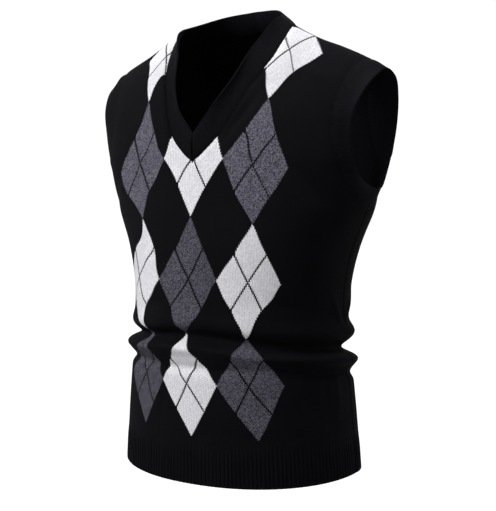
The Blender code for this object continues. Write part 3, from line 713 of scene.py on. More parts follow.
def drawn_in(points, normals):
    """Press a panel in beside the seams of its bands, and give each point the painted shade of the seam's
    furrow.
    """
    lines = [(neck_lines()[0], NECK_DIP, NECK_SHADE)]
    lines += [(armhole_lines(right)[0], ARM_DIP, ARM_SHADE) for right in (False, True)]
    dip, painted_seam_shade = np.zeros(len(points)), np.zeros(len(points))
    for line, depth, shade in lines:
        near = np.linalg.norm(points[:, None] - line[None, ::2], axis=2).min(axis=1)
        dip = dip + depth * np.exp(-(near / DIP_REACH) ** 2)
        painted_seam_shade = painted_seam_shade + shade * np.exp(-(near / SHADE_REACH) ** 2)
    return points - normals * dip[:, None], painted_seam_shade


def make_panel(name, node, back, cut, material, sizes):
    """Front or back of the body, from the hem rib to the shoulders."""
    halves = [panel_half(back, right, sizes.diamond_width) for right in (False, True)]
    outer, normals, flat = [np.concatenate([part.reshape(-1, part.shape[-1]) for part in pair])
                            for pair in list(zip(*halves))[:3]]
    left, right = np.arange(len(outer)).reshape(2, *halves[0][0].shape[:2])
    neck = halves[0][3]
    right[:neck + 1, 0] = left[:neck + 1, 0]
    quads = np.concatenate((grid_quads(left, back), grid_quads(right, not back)))
    used = np.unique(quads)
    renumber = np.zeros(len(outer), dtype=int)
    renumber[used] = np.arange(len(used))
    outer, normals, flat, quads = outer[used], normals[used], flat[used], renumber[quads]
    outer, painted_seam_shade = drawn_in(outer, normals)
    points, faces = thicken(outer, normals, quads, sizes.wall)
    flat = flat + (PANEL_HALF_WIDTH, 0.0)
    flat, painted_seam_shade = np.concatenate((flat, flat)), np.concatenate((painted_seam_shade, painted_seam_shade))
    area = min(sheet_area(outer, quads), WHOLE_CUT * cut[0] * cut[1])
    dress(make_piece(name, points, faces, flat, material, painted_seam_shade), node)


def sheet_area(points, quads):
    """Area of a sheet of quads."""
    first, second, third = [points[quads[:, corner]] - points[quads[:, 0]] for corner in (1, 2, 3)]
    halves = np.cross(first, second), np.cross(second, third)
    return float(sum(np.linalg.norm(half, axis=1) for half in halves).sum() / 2)


# ---------------------------------------------------------------- bands
NECK_DIP = 0.0019            # how far the sewing draws the neck seam in
ARM_DIP = 0.0005
DIP_REACH = 0.0040
NECK_SHADE = 0.9             # how dark the painted shade in the furrow of each seam is
ARM_SHADE = 0.3
SHADE_REACH = 0.0036
MITRE_DIP = 0.0012           # the fold of the neckband under the point of its V
MITRE_REACH = 0.0015
MITRE_BEND = 0.014           # over this length the band turns to meet its other half
SWELL_LEAN = 0.75            # below 1, a band swells most nearer its seam than its free edge
BAND_ROWS = 11


def band_section(seam, normals, edge, wall, proud, closed):
    """Points of a band, row by row: up its outside, round its free edge and down its inside.

    proud is how far each column of the outside swells, and is below nought in a fold.
    """
    way = aside(seam, edge, normals, closed)
    reach = np.linalg.norm(edge - seam, axis=1, keepdims=True)
    if not closed:
        far = np.minimum(*[np.linalg.norm(seam - seam[end], axis=1) for end in (0, -1)])
        mitre = np.exp(-(far / MITRE_BEND) ** 2)[:, None]
        way = unit(way * (1.0 - mitre) + (edge - seam) / reach * mitre)
    lead = seam + way * reach * 0.5
    t = np.linspace(0.0, 1.0, BAND_ROWS)[:, None, None]
    middle = seam * (1 - t) ** 2 + lead * 2 * t * (1 - t) + edge * t * t
    out = unit(np.gradient(middle, axis=0))
    square = unit(np.cross(slope_along(middle, closed), out))
    facing = np.sign(np.sum(square * normals, axis=-1, keepdims=True))
    square = square * facing
    square[0] = normals
    rise = np.sin(np.pi * t ** SWELL_LEAN) * proud[:, None]
    outside = middle + square * rise
    outside[-1] = middle[-1]
    rows = free_edge(outside, middle - square * wall, square[-1], out[-1], wall, wall)
    return rows, bool(facing[1, 1, 0] < 0)


def edge_of(edge, right):
    """The x, y and height of a free edge on one side, as columns of its table."""
    return [edge[("right_" if right else "") + name] for name in ("x", "y", "height")]


def neck_edge(runs, right):
    """The free edge of the neckband on one side."""
    x, y, height = [smooth(NECK_EDGE["run"], value, runs) for value in edge_of(NECK_EDGE, right)]
    return posed(np.stack((x, y, height + NECK_TILT * x), axis=-1))


def neck_lines():
    """Seam, normals and free edge of the neckband, up the left of the V, round and down."""
    halves = []
    for right in (False, True):
        parts = []
        for back in (False, True):
            share, level, along = neck_stations(back, right)
            along = 1.0 - along * (1.0 - NECK_EDGE_SHOULDER) if back else along * NECK_EDGE_SHOULDER
            parts.append((*cloth(back, share, level), neck_edge(along, right)))
        halves.append([np.concatenate((front, rear[-2::-1])) for front, rear in zip(*parts)])
    return [np.concatenate((left, right[-2::-1])) for left, right in zip(*halves)]


def armhole_lines(right):
    """Seam, normals and free edge of an armband, once round from the underarm."""
    parts = [cloth(back, *armhole_stations(back, right)[:2]) for back in (False, True)]
    seam, way = [np.concatenate((front, rear[-2::-1])) for front, rear in zip(*parts)]
    front, rear = [len(part[0]) for part in parts]
    turns = np.append(np.linspace(0.0, 0.5, front), np.linspace(0.5, 1.0, rear)[1:])
    known = np.concatenate([ARM_EDGE["turn"] + whole for whole in (-1, 0, 1)])
    edge = [smooth(known, np.tile(value, 3), turns) for value in edge_of(ARM_EDGE, right)]
    return seam, way, posed(np.stack(edge, axis=-1))


def band_rows(lines, closed, sizes):
    """The rows of a band, whether they are flipped, and how far each column is along the band."""
    seam, way, edge = lines
    along = run_along((seam + edge) / 2)
    if closed:
        proud, dip = np.full_like(along, sizes.band_fullness / 2), ARM_DIP
    else:
        from_point = np.minimum(along, along[-1] - along)
        fold = np.exp(-(from_point / MITRE_REACH) ** 2)
        proud, dip = sizes.band_fullness * (1.0 - fold) - MITRE_DIP * fold, NECK_DIP
    return *band_section(seam - way * dip, way, edge, sizes.wall, proud, closed), along


def make_band(node, lines, closed, material, sizes):
    """A strip of rib knit sewn along a seam, with a soft rounded free edge."""
    rows, flip, along = band_rows(lines, closed, sizes)
    across = run_along(rows).mean(axis=1)
    width = float(across[BAND_ROWS - 1])
    # painted shade in the furrow beside the band's seam
    painted_seam_shade = (ARM_SHADE if closed else NECK_SHADE) * np.exp(-(across / SHADE_REACH) ** 2)
    painted_seam_shade = np.repeat(painted_seam_shade, len(along))
    piece = make_tube(node + "_knit", rows, flip, not closed, (along, across - width), material, painted_seam_shade)
    if closed:
        weld(piece)
    dress(piece, node)


def weld(piece):
    """Join the two ends of a ring of cloth."""
    bpy.ops.object.select_all(action="DESELECT")
    bpy.context.view_layer.objects.active = piece
    piece.select_set(True)
    bpy.ops.object.mode_set(mode="EDIT")
    bpy.ops.mesh.select_all(action="SELECT")
    bpy.ops.mesh.remove_doubles(threshold=1e-6)
    bpy.ops.object.mode_set(mode="OBJECT")
    piece.select_set(False)


# ---------------------------------------------------------------- hem
RIB_PHASES = (0.00, 0.12, 0.25, 0.36, 0.47, 0.65, 0.83, 0.93)
HEM_ROWS = (1.0, 0.96, 0.91, 0.85, 0.78, 0.70, 0.60, 0.50, 0.40, 0.25, 0.12, 0.04, 0.0)
RIB_FADE = 0.030             # over this height the ribs grow out of the plain knit
RIB_SEED = 11
FURROW_END = 0.22            # phases at which a rib starts to rise, and then stands fully
RISE_LENGTH = 0.24
FALL_LENGTH = 0.22           # it falls over this last part
RIB_LEAN = 0.07              # how unevenly the ribs are spaced, in ribs
RIB_STANDS = (0.75, 1.1)     # the least and the most that a rib stands, in rib depths


def rib_stand(phase):
    """How far a rib stands at a phase of its furrow and ridge, from 0 to 1."""
    return np.minimum(ease((phase - FURROW_END) / RISE_LENGTH), ease((1.0 - phase) / FALL_LENGTH))


def make_hem_rib(node, back, material, sizes):
    """Half of the hem, from the panel down to its soft rounded edge, in ribs."""
    count = sizes.rib_count // 2
    chance = np.random.default_rng(RIB_SEED + int(back))
    lean = chance.uniform(-RIB_LEAN, RIB_LEAN, count + 1)
    lean[[0, -1]] = 0.0
    starts = np.arange(count + 1) + lean
    phases = np.array(RIB_PHASES)
    places = (starts[:-1, None] + np.diff(starts)[:, None] * phases).ravel()
    stand = (chance.uniform(*RIB_STANDS, count)[:, None] * rib_stand(phases)).ravel()
    share = 2 * np.append(places, count) / count - 1
    stand = np.append(stand, 0.0)
    heights = np.array(HEM_ROWS) * HEM_RIB_HEIGHT
    form, normals = cloth(back, *np.meshgrid(share, heights / CHEST_HEIGHT))
    fade = ease((HEM_RIB_HEIGHT - heights) / RIB_FADE)[:, None, None]
    outside = form + normals * (sizes.rib_depth * stand)[None, :, None] * fade
    thick = sizes.wall + sizes.rib_depth * stand[:, None]
    down = unit(form[-1] - form[-2])
    rows = free_edge(outside, form - normals * sizes.wall, normals[-1], down, thick, sizes.wall)
    up = np.concatenate((heights, np.zeros(EDGE_TURNS), heights[::-1]))
    flat = (share * PANEL_HALF_WIDTH + PANEL_HALF_WIDTH, up)
    piece = make_tube(node + "_knit", rows, not back, True, flat, material)
    dress(piece, node)


# ---------------------------------------------------------------- sewing
STITCH_PITCH = 0.0021
STITCH_LENGTH = 0.0023
STITCH_THICKNESS = 0.0006
STITCH_LEAN = math.radians(28)
MITRE_STITCH_LENGTH = 0.0026
MITRE_STITCH_THICKNESS = 0.0012
STITCH_SIDES = 6
STITCH_BLUNT = 0.6           # below 1, a stitch is fuller toward its ends
STITCH_RINGS = (0.18, 0.5, 0.82)


def make_stitches(name, path, normals, length, thickness, lean, material):
    """A row of small slanting stitches along a seam, as one mesh."""
    run = run_along(path)
    count = max(int(run[-1] / STITCH_PITCH), 2)
    at = (np.arange(count) + 0.5) * run[-1] / count
    centre, out, ahead = [np.stack([np.interp(at, run, line[:, axis]) for axis in range(3)], axis=1)
                          for line in (path, normals, np.gradient(path, run, axis=0))]
    out, ahead = unit(out), unit(ahead)
    side = unit(np.cross(out, ahead))
    way = ahead * math.cos(lean) + side * math.sin(lean)
    beam = unit(np.cross(out, way))
    angle = np.linspace(0.0, 2 * math.pi, STITCH_SIDES, endpoint=False)
    points = [centre - way * length / 2]
    for t in STITCH_RINGS:
        swell = math.sin(math.pi * t) ** STITCH_BLUNT * thickness / 2
        middle = centre + way * (t - 0.5) * length
        for turn in angle:
            points.append(middle + beam * math.cos(turn) * swell + out * math.sin(turn) * swell)
    points.append(centre + way * length / 2)
    points = np.stack(points, axis=1)
    last = points.shape[1] - 1
    faces = []
    for i in range(STITCH_SIDES):
        j = (i + 1) % STITCH_SIDES
        faces.append((0, 1 + j, 1 + i))
        for ring in range(len(STITCH_RINGS) - 1):
            low, high = 1 + ring * STITCH_SIDES, 1 + (ring + 1) * STITCH_SIDES
            faces.append((low + i, low + j, high + j, high + i))
        top = 1 + (len(STITCH_RINGS) - 1) * STITCH_SIDES
        faces.append((top + i, top + j, last))
    every = [tuple(v + number * (last + 1) for v in face) for number in range(count) for face in faces]
    piece = make_piece(name, points.reshape(-1, 3), every, None, material)
    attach(piece, "root")


# ---------------------------------------------------------------- materials
class Value:
    """A number or colour that a material's nodes work out, for use in ordinary sums."""

    def __init__(self, finish, socket):
        self.finish = finish
        self.socket = socket

    def __rsub__(self, other):
        return self.finish.sum("SUBTRACT", other, self)

    def sine(self):
        """The sine of the number."""
        return self.finish.sum("SINE", self)


def step_of(operation):
    """Return a method that does one operation."""
    return lambda value, *others: value.finish.sum(operation, value, *others)


for sign, operation in (
        ("add", "ADD"), ("radd", "ADD"), ("sub", "SUBTRACT"), ("mul", "MULTIPLY"), ("rmul", "MULTIPLY"),
        ("truediv", "DIVIDE"), ("mod", "FLOORED_MODULO"), ("pow", "POWER"), ("lt", "LESS_THAN"),
        ("gt", "GREATER_THAN"), ("abs", "ABSOLUTE"), ("floor", "FLOOR"), ("round", "ROUND")):
    setattr(Value, f"__{sign}__", step_of(operation))


def opaque(colour):
    """A plain colour with its alpha, or a worked-out one as it is."""
    return colour if isinstance(colour, Value) else (*colour, 1.0)


class Finish:
    """A material and the nodes added to it."""

    def __init__(self, name):
        self.material = bpy.data.materials.new(name)
        self.material.use_nodes = True
        self.tree = self.material.node_tree
        self.shader = self.tree.nodes["Principled BSDF"]

    def join(self, value, socket):
        """Link a value to a socket, or set a plain one on it."""
        if isinstance(value, Value):
            self.tree.links.new(value.socket, socket)
        else:
            socket.default_value = value

    def node(self, kind, output, inputs, **settings):
        """Add a node with its inputs linked or set, and return one of its outputs."""
        node = self.tree.nodes.new("ShaderNode" + kind)
        for name, setting in settings.items():
            setattr(node, name, setting)
        for name, value in inputs.items():
            self.join(value, node.inputs[name])
        return Value(self, node.outputs[output])

    def sum(self, operation, *values):
        """One step of arithmetic."""
        return self.node("Math", 0, dict(enumerate(values)), operation=operation)

    def blend(self, share, first, second):
        """Mix two colours."""
        return self.node("Mix", 2, {0: share, 6: opaque(first), 7: opaque(second)}, data_type="RGBA")

    def shaded(self, colour, strength):
        """A colour made as many times as strong."""
        values = {0: 1.0, 6: opaque(colour), 7: strength}
        return self.node("Mix", 2, values, data_type="RGBA", blend_type="MULTIPLY")

    def lint(self, scale, detail, strength):
        """Soft patches a little lighter and darker than the yarn."""
        return self.cloud(scale, detail) * strength + (1.0 - strength / 2)

    def flat_place(self):
        """Across and up on the flat knit."""
        place = self.node("UVMap", 0, {}, uv_map=KNIT_MAP)
        return [self.node("SeparateXYZ", axis, {0: place}) for axis in (0, 1)]

    def place(self):
        """The place on the object."""
        return self.node("TexCoord", "Object", {})

    def chance(self, *numbers):
        """A random value from 0 to 1 for a set of whole numbers."""
        joined = self.node("CombineXYZ", 0, dict(enumerate(numbers)))
        return self.node("TexWhiteNoise", "Value", {"Vector": joined}, noise_dimensions="3D")

    def cloud(self, scale, detail):
        """Soft noise over the object, from 0 to 1."""
        return self.node("TexNoise", 0, {"Vector": self.place(), "Scale": scale, "Detail": detail})

    def ramp(self, value, start, end):
        """0 where a value is at the start and 1 at the end."""
        return self.node("MapRange", "Result", {"From Min": start, "From Max": end, "Value": value},
                         interpolation_type="SMOOTHSTEP")

    def out_of_painted_shade(self):
        """1 on open cloth, and less where shade is painted in the furrows of the seams."""
        return 1.0 - self.node("Attribute", "Fac", {}, attribute_name=PAINTED_SHADE_MAP) * PAINTED_SHADE_DEPTH

    def relief(self, height, distance, strength):
        """Raise the surface by a height."""
        raised = self.node("Bump", 0, {"Distance": distance, "Strength": strength, "Height": height})
        self.join(raised, self.shader.inputs["Normal"])

    def finished(self, shade, **settings):
        """Give the shader its colour and its even settings, and return the material."""
        self.join(shade, self.shader.inputs["Base Color"])
        for name, setting in settings.items():
            self.shader.inputs[name.replace("_", " ")].default_value = setting
        return self.material


PAINTED_SHADE_DEPTH = 0.65             # how much darker the painted shade makes the yarn deep in a seam
RISING_LINE = 0.84           # half widths in stitches of the thin lines that cross the diamonds
FALLING_LINE = 0.73
PAINTED_SHOULDER_LIGHT = (-0.13, -0.01)   # between these heights the front is painted paler toward the shoulders, a painted highlight
STRAND = 0.62                # how tall one strand of the grey yarn shows, in stitches
LEG_CLIMB = 0.9              # rows that the legs of a V climb from its point
DEEP_PAINTED_SHADE = 0.66               # how light the painted shade leaves the yarn deep between the stitches
TOP_PAINTED_LIGHT = 0.42           # and how much lighter it is painted on top of them
# the same painted shade and light for the stitches and ribs of a rib knit
RIB_DEEP_PAINTED_SHADE = 0.68
RIB_TOP_PAINTED_LIGHT = 0.30
RIB_STITCHES = 0.45          # how high the stitches of a rib stand, and the rib itself
RIB_RIDGES = 0.8
UNEVEN_FLECK = 0.58          # the random share of the white yarn's flecks; the rest are every fourth stitch
HEATHER = (0.12, 1.02)       # the chances between which the grey yarn turns from dark to light
SOFT = 2.0                   # how many sizes of detail a soft noise has, and a rougher one
ROUGH = 3.0
ARGYLE_LINT = (22.0, SOFT, 0.8)  # the scale, the detail and the strength of the lint
PLAIN_LINT = (30.0, ROUGH, 0.3)
BAND_LINT = (45.0, SOFT, 0.9)
HEM_LINT = (45.0, SOFT, 0.5)
HAIR_SCALE = 2200.0
HAIR_STAND = 0.35            # how far the hairs stand, beside the yarn
TWIST_SCALE = 1500.0         # of the fibres in the sewing yarn, and how far they stand
TWIST_STAND = 0.0002
PAINTED_EDGE_LIGHT = (-0.018, -0.004)  # a band is painted paler over this last part of its width, toward its free edge: a painted highlight
PAINTED_RIM_SHADE = (0.0006, 0.0024)       # and its free edge gets painted shade
RIM_SHADE_FLOOR = 0.4              # how light the painted shade leaves the very edge


def knit_stitches(across, up, wale, course):
    """Rows of V stitches: the numbers of the stitch and how high its yarn stands."""
    column = across / wale
    wale_number = math.floor(column)
    aside_of = abs(column - wale_number - 0.5) * 2.0
    row = up / course - aside_of * LEG_CLIMB
    course_number = math.floor(row)
    ridge = 1.0 - (row - course_number - 0.5) ** 2.0 * 4.0
    leg = (aside_of * math.pi).sine()
    return wale_number, course_number, (ridge * leg) ** 0.5


def knitted(finish, shade, stands, sizes, colours):
    """Finish a knit with its raised yarn and the soft hairy surface that all the knit shares."""
    hair = finish.cloud(HAIR_SCALE, SOFT)
    finish.relief(stands + hair * HAIR_STAND, sizes.stitch_relief, 0.8)
    return finish.finished(shade, Roughness=0.65, Specular_IOR_Level=0.04, Sheen_Weight=colours.fuzz,
                           Sheen_Roughness=0.45, Sheen_Tint=(0.75, 0.76, 0.86, 1.0))


def argyle_knit(sizes, colours):
    """Black knit with three columns of white and grey diamonds crossed by thin black lines."""
    finish = Finish("argyle_yarn")
    across, up = finish.flat_place()
    wale, course, stands = knit_stitches(across, up, sizes.stitch_width, sizes.stitch_height)
    p = ((wale + 0.5) * sizes.stitch_width - PANEL_HALF_WIDTH) / sizes.diamond_width
    q = ((course + 0.5) * sizes.stitch_height - FIRST_TIP) / sizes.diamond_height - 0.5
    column, row = round(p), round(q)
    beside, above = p - column, q - row
    from_middle, from_row = abs(beside), abs(above)
    inside = (from_middle + from_row < 0.5) * (abs(p) < PATTERN_SIDE) * (q > -0.5)
    half_line = (beside * above > 0.0) * (RISING_LINE - FALLING_LINE) + FALLING_LINE
    half_line = half_line * (sizes.stitch_width / sizes.diamond_width)
    inside = inside * (abs(from_middle - from_row) > half_line)
    grey = (abs(column) + row) % 2.0

    every_fourth = (wale + course * 2.0) % 4.0 < 0.5
    fleck = finish.chance(wale, course, 5.0) * UNEVEN_FLECK + every_fourth * (1.0 - UNEVEN_FLECK)
    white = finish.blend(fleck, colours.white, colours.white_fleck)
    leg = math.floor(across / (sizes.stitch_width / 2))
    strand = math.floor(up / (sizes.stitch_height * STRAND))
    heather = finish.ramp(finish.chance(leg, strand, 3.0), *HEATHER)
    # painted light: the upper grey diamonds painted lighter, where more light falls
    lift = (row > 1.5) * colours.grey_painted_light + (1.0 - colours.grey_painted_light / 4)
    heathered = finish.shaded(finish.blend(heather, colours.grey_dark, colours.grey_light), lift)

    height = finish.node("SeparateXYZ", 2, {0: finish.place()})
    # painted highlight: the front painted paler toward the shoulders
    wear = finish.ramp(height, *PAINTED_SHOULDER_LIGHT) * colours.shoulder_painted_light
    # worn holds the lint together with the painted highlight of the shoulders and the painted shade of the
    # seams
    worn = (wear + finish.lint(*ARGYLE_LINT)) * finish.out_of_painted_shade()
    ground = finish.shaded(colours.black, worn)
    yarn = finish.blend(inside, ground, finish.blend(grey, white, heathered))
    # painted shade deep between the stitches, painted lighter on their tops
    shade = finish.shaded(yarn, stands * TOP_PAINTED_LIGHT + DEEP_PAINTED_SHADE)
    return knitted(finish, shade, stands, sizes, colours)


def plain_knit(sizes, colours):
    """Black knit of the same stitches."""
    finish = Finish("plain_yarn")
    stands = knit_stitches(*finish.flat_place(), sizes.stitch_width, sizes.stitch_height)[2]
    # worn holds the lint together with the painted shade of the seams
    worn = finish.lint(*PLAIN_LINT) * finish.out_of_painted_shade()
    # painted shade deep between the stitches, painted lighter on their tops
    shade = finish.shaded(colours.black, (stands * TOP_PAINTED_LIGHT + DEEP_PAINTED_SHADE) * worn)
    return knitted(finish, shade, stands, sizes, colours)


def rib_knit(name, sizes, colours, gauge, lint, edge_painted_light):
    """Black knit in fine ribs that run across the piece, as wide as gauge."""
    finish = Finish(name)
    across, up = finish.flat_place()
    stands = knit_stitches(across, up, gauge, sizes.stitch_height)[2]
    height = stands * RIB_STITCHES + abs((across * (math.pi / gauge)).sine()) * RIB_RIDGES
    # worn holds the lint, and on the bands also the painted light and shade of the edges and the seams
    worn = finish.lint(*lint)
    if edge_painted_light:
        # painted shade on the band's rounded free edge
        rim = finish.ramp(abs(up), *PAINTED_RIM_SHADE) * (1.0 - RIM_SHADE_FLOOR) + RIM_SHADE_FLOOR
        # painted highlight toward the band's free edge
        edge = finish.ramp(up, *PAINTED_EDGE_LIGHT) * edge_painted_light
        worn = (worn + edge) * rim * finish.out_of_painted_shade()
    # painted shade deep between the stitches and ribs, painted lighter on their tops
    shade = finish.shaded(colours.black, (height * RIB_TOP_PAINTED_LIGHT + RIB_DEEP_PAINTED_SHADE) * worn)
    return knitted(finish, shade, height, sizes, colours)


def sewing_yarn(colours):
    """Black yarn of the seams."""
    finish = Finish("sewing_yarn")
    twist = finish.cloud(TWIST_SCALE, SOFT)
    finish.relief(twist, TWIST_STAND, 0.6)
    dark, light = [[strength * part for part in colours.black] for strength in (0.1, 0.6)]
    return finish.finished(finish.blend(twist, dark, light), Roughness=0.9, Specular_IOR_Level=0.02)


def pale_floor(colour, glow):
    """Plain matt floor, lit a little from within so that it stays white."""
    finish = Finish("pale_floor")
    shade = finish.blend(finish.cloud(3.0, 2.0), colour, [0.985 * part for part in colour])
    return finish.finished(shade, Roughness=0.9, Specular_IOR_Level=0.1,
                           Emission_Color=(1.0, 1.0, 1.0, 1.0), Emission_Strength=glow)


def material_of(name, make, *details):
    """Return a material, made the first time it is asked for."""
    return bpy.data.materials.get(name) or make(*details)


def band_yarn(sizes, colours):
    """The rib knit of the neck and arm bands."""
    details = (sizes, colours, sizes.rib_gauge, BAND_LINT, colours.band_painted_light)
    return material_of("band_yarn", rib_knit, "band_yarn", *details)


# ---------------------------------------------------------------- settings
def metres(name, description, default, low, high):
    """A length in metres."""
    return FloatProperty(name=name, description=description, default=default, min=low, max=high,
                         unit="LENGTH", precision=5)


def factor(name, description, default, high):
    """A share or a strength."""
    return FloatProperty(name=name, description=description, default=default, min=0.0, max=high,
                         subtype="FACTOR")


def watts(name, description, default):
    """The power of a light in watts."""
    return FloatProperty(name=name, description=description, default=default, min=0.0, max=500.0,
                         unit="POWER")


def degrees(name, description, default):
    """An angle, shown in degrees."""
    return FloatProperty(name=name, description=description, default=math.radians(default), subtype="ANGLE")


def tone(name, description, *default):
    """A colour."""
    return FloatVectorProperty(name=name, description=description, default=default, min=0.0, max=1.0,
                               subtype="COLOR")


class VestSizes(bpy.types.PropertyGroup):
    """Sizes of the knit."""

    wall: metres("Wall", "Thickness of the knit", 0.0024, 0.001, 0.004)
    stitch_width: metres("Stitch width", "Width of one stitch", 0.00199, 0.001, 0.006)
    stitch_height: metres("Stitch height", "Height of one stitch", 0.00163, 0.001, 0.006)
    stitch_relief: metres("Stitch relief", "How far the yarn stands up", 0.0005, 0.0, 0.002)
    diamond_width: metres("Diamond width", "Width of a diamond", 0.0916, 0.03, 0.2)
    diamond_height: metres("Diamond height", "Height of a diamond", 0.150, 0.05, 0.3)
    rib_count: IntProperty(name="Ribs", description="Ribs round the hem", default=180, min=40, max=400)
    rib_depth: metres("Rib depth", "How far a hem rib stands out of its furrow", 0.0010, 0.0, 0.003)
    rib_gauge: metres("Band gauge", "Width of one rib of the neck and arm bands", 0.0026, 0.001, 0.008)
    band_fullness: metres("Band fullness", "How far a band swells between its edges", 0.0020, 0.0, 0.004)


class VestColours(bpy.types.PropertyGroup):
    """Colours of the yarns."""

    black: tone("Black yarn", "Ground of the vest", 0.0031, 0.0030, 0.0045)
    white: tone("White yarn", "Light diamonds", 0.975, 0.965, 1.0)
    white_fleck: tone("White fleck", "Darker stitches of the light diamonds", 0.650, 0.643, 0.690)
    grey_light: tone("Grey, light strands", "Lighter strands of the grey yarn", 0.166, 0.162, 0.200)
    grey_dark: tone("Grey, dark strands", "Darker strands of the grey yarn", 0.038, 0.036, 0.050)
    floor: tone("Floor", "Plain pale floor", 0.97, 0.97, 0.97)
    # painted light on the upper grey diamonds
    grey_painted_light: factor("Grey lift", "How much lighter the upper grey diamonds are", 0.35, 1.0)
    # painted highlight on the shoulders
    shoulder_painted_light: factor("Shoulder painted light", "How much paler the painted highlight makes the shoulders", 0.45, 2.0)
    # painted highlight along the bands' edges
    band_painted_light: factor("Band painted light", "How much paler the painted highlight makes the bands along their edges", 0.60, 2.0)
    fuzz: factor("Fuzz", "Sheen of the hairs that stand off the yarn", 0.008, 1.0)


class StudioSettings(bpy.types.PropertyGroup):
    """Light and camera."""

    key: watts("Key", "Power of the key light", 53.5)
    top: watts("Top", "Power of the light over the left shoulder", 17.0)
    side: watts("Side", "Power of the weak light on the left side", 3.2)
    floor_glow: factor("Floor glow", "How brightly the floor glows of itself", 0.80, 1.0)
    sky: factor("Sky", "Strength of the even light from all sides", 0.32, 5.0)
    azimuth: degrees("Azimuth", "Where the camera stands round the vest", 36.044)
    pitch: degrees("Pitch", "How far the camera looks down", 2.500)
    yaw: degrees("Yaw", "How far the camera looks past the vest's axis", -0.085)
    distance: metres("Distance", "From the camera to the vest's axis", 1.80, 0.5, 10.0)
    eye_height: metres("Eye height", "Height of the camera over the hem", 0.3532, 0.0, 3.0)


VIEW_HEIGHT = 511            # pixels of the rendered view, the longer of its sides
VIEW_FOCUS = 1343.6          # its focal length in the same pixels
FLOOR_DROP = 0.86            # from the hem down to the floor that the wearer stands on
FLOOR_HALF = 30.0
FLOOR_STEPS = 8
SEEN_SKY = 1.05              # how bright the sky is where the camera sees it


# ---------------------------------------------------------------- operators
class VEST_OT_front_panel(bpy.types.Operator):
    """Knit the argyle front"""

    bl_idname = "vest.front_panel"
    bl_label = "Front panel"

    def execute(self, context):
        sizes, colours = context.scene.vest_sizes, context.scene.vest_colours
        material = material_of("argyle_yarn", argyle_knit, sizes, colours)
        make_panel("argyle_front", "front_panel", False, FRONT_CUT, material, sizes)
        return {"FINISHED"}


class VEST_OT_back_panel(bpy.types.Operator):
    """Knit the plain back"""

    bl_idname = "vest.back_panel"
    bl_label = "Back panel"

    def execute(self, context):
        sizes, colours = context.scene.vest_sizes, context.scene.vest_colours
        material = material_of("plain_yarn", plain_knit, sizes, colours)
        make_panel("plain_back", "back_panel", True, BACK_CUT, material, sizes)
        return {"FINISHED"}


class VEST_OT_hem_ribs(bpy.types.Operator):
    """Knit the two halves of the ribbed hem"""

    bl_idname = "vest.hem_ribs"
    bl_label = "Hem ribs"

    def execute(self, context):
        sizes, colours = context.scene.vest_sizes, context.scene.vest_colours
        details = (sizes, colours, sizes.stitch_width, HEM_LINT, 0.0)
        material = material_of("hem_yarn", rib_knit, "hem_yarn", *details)
        for node, back in (("hem_rib_front", False), ("hem_rib_back", True)):
            make_hem_rib(node, back, material, sizes)
        return {"FINISHED"}


class VEST_OT_neckband(bpy.types.Operator):
    """Knit the band of the V neck"""

    bl_idname = "vest.neckband"
    bl_label = "Neckband"

    def execute(self, context):
        sizes, colours = context.scene.vest_sizes, context.scene.vest_colours
        make_band("neckband", neck_lines(), False, band_yarn(sizes, colours), sizes)
        return {"FINISHED"}


class VEST_OT_armbands(bpy.types.Operator):
    """Knit the bands of the two armholes"""

    bl_idname = "vest.armbands"
    bl_label = "Armbands"

    def execute(self, context):
        sizes, colours = context.scene.vest_sizes, context.scene.vest_colours
        for node, right in (("armband_left", False), ("armband_right", True)):
            make_band(node, armhole_lines(right), True, band_yarn(sizes, colours), sizes)
        return {"FINISHED"}


class VEST_OT_sewing(bpy.types.Operator):
    """Sew the seams of the neck, the armholes, the shoulders and the sides"""

    bl_idname = "vest.sewing"
    bl_label = "Sewing"

    def execute(self, context):
        sizes, colours = context.scene.vest_sizes, context.scene.vest_colours
        material = material_of("sewing_yarn", sewing_yarn, colours)
        stitch = (STITCH_LENGTH, STITCH_THICKNESS, STITCH_LEAN, material)
        seam, way, _ = neck_lines()
        make_stitches("neck_linking", seam - way * NECK_DIP, way, *stitch)
        fold = band_rows(neck_lines(), False, sizes)[0][1:BAND_ROWS, 0]
        make_stitches("mitre_sewing", fold, np.tile(way[0], (len(fold), 1)), MITRE_STITCH_LENGTH,
                      MITRE_STITCH_THICKNESS, 0.0, material)
        for side, right in (("left", False), ("right", True)):
            hand = hand_of(right)
            seam, way, _ = armhole_lines(right)
            make_stitches("armhole_linking_" + side, seam - way * 2 * ARM_DIP, way, *stitch)
            ends = (NECK_FRONT["left_share"][-1], ARMHOLE["front_share"][-1])
            share = np.linspace(*ends, SHOULDER_SEAM_STEPS) * hand
            shoulder = cloth(False, share, np.full_like(share, 2.0))
            make_stitches("shoulder_linking_" + side, *shoulder, *stitch)
            level = body_heights(np.array([hand]))[:, 0] / CHEST_HEIGHT
            seam_side = cloth(False, np.full_like(level, hand), level)
            make_stitches("side_linking_" + side, *seam_side, *stitch)
        return {"FINISHED"}


class VEST_OT_studio(bpy.types.Operator):
    """Set up the floor, the lights and the camera"""

    bl_idname = "vest.studio"
    bl_label = "Studio"

    def execute(self, context):
        studio, colours = context.scene.vest_studio, context.scene.vest_colours
        context.scene.view_settings.view_transform = "Standard"
        make_floor(colours, studio)
        make_sky(studio)
        make_lights(studio)
        make_camera(studio)
        return {"FINISHED"}


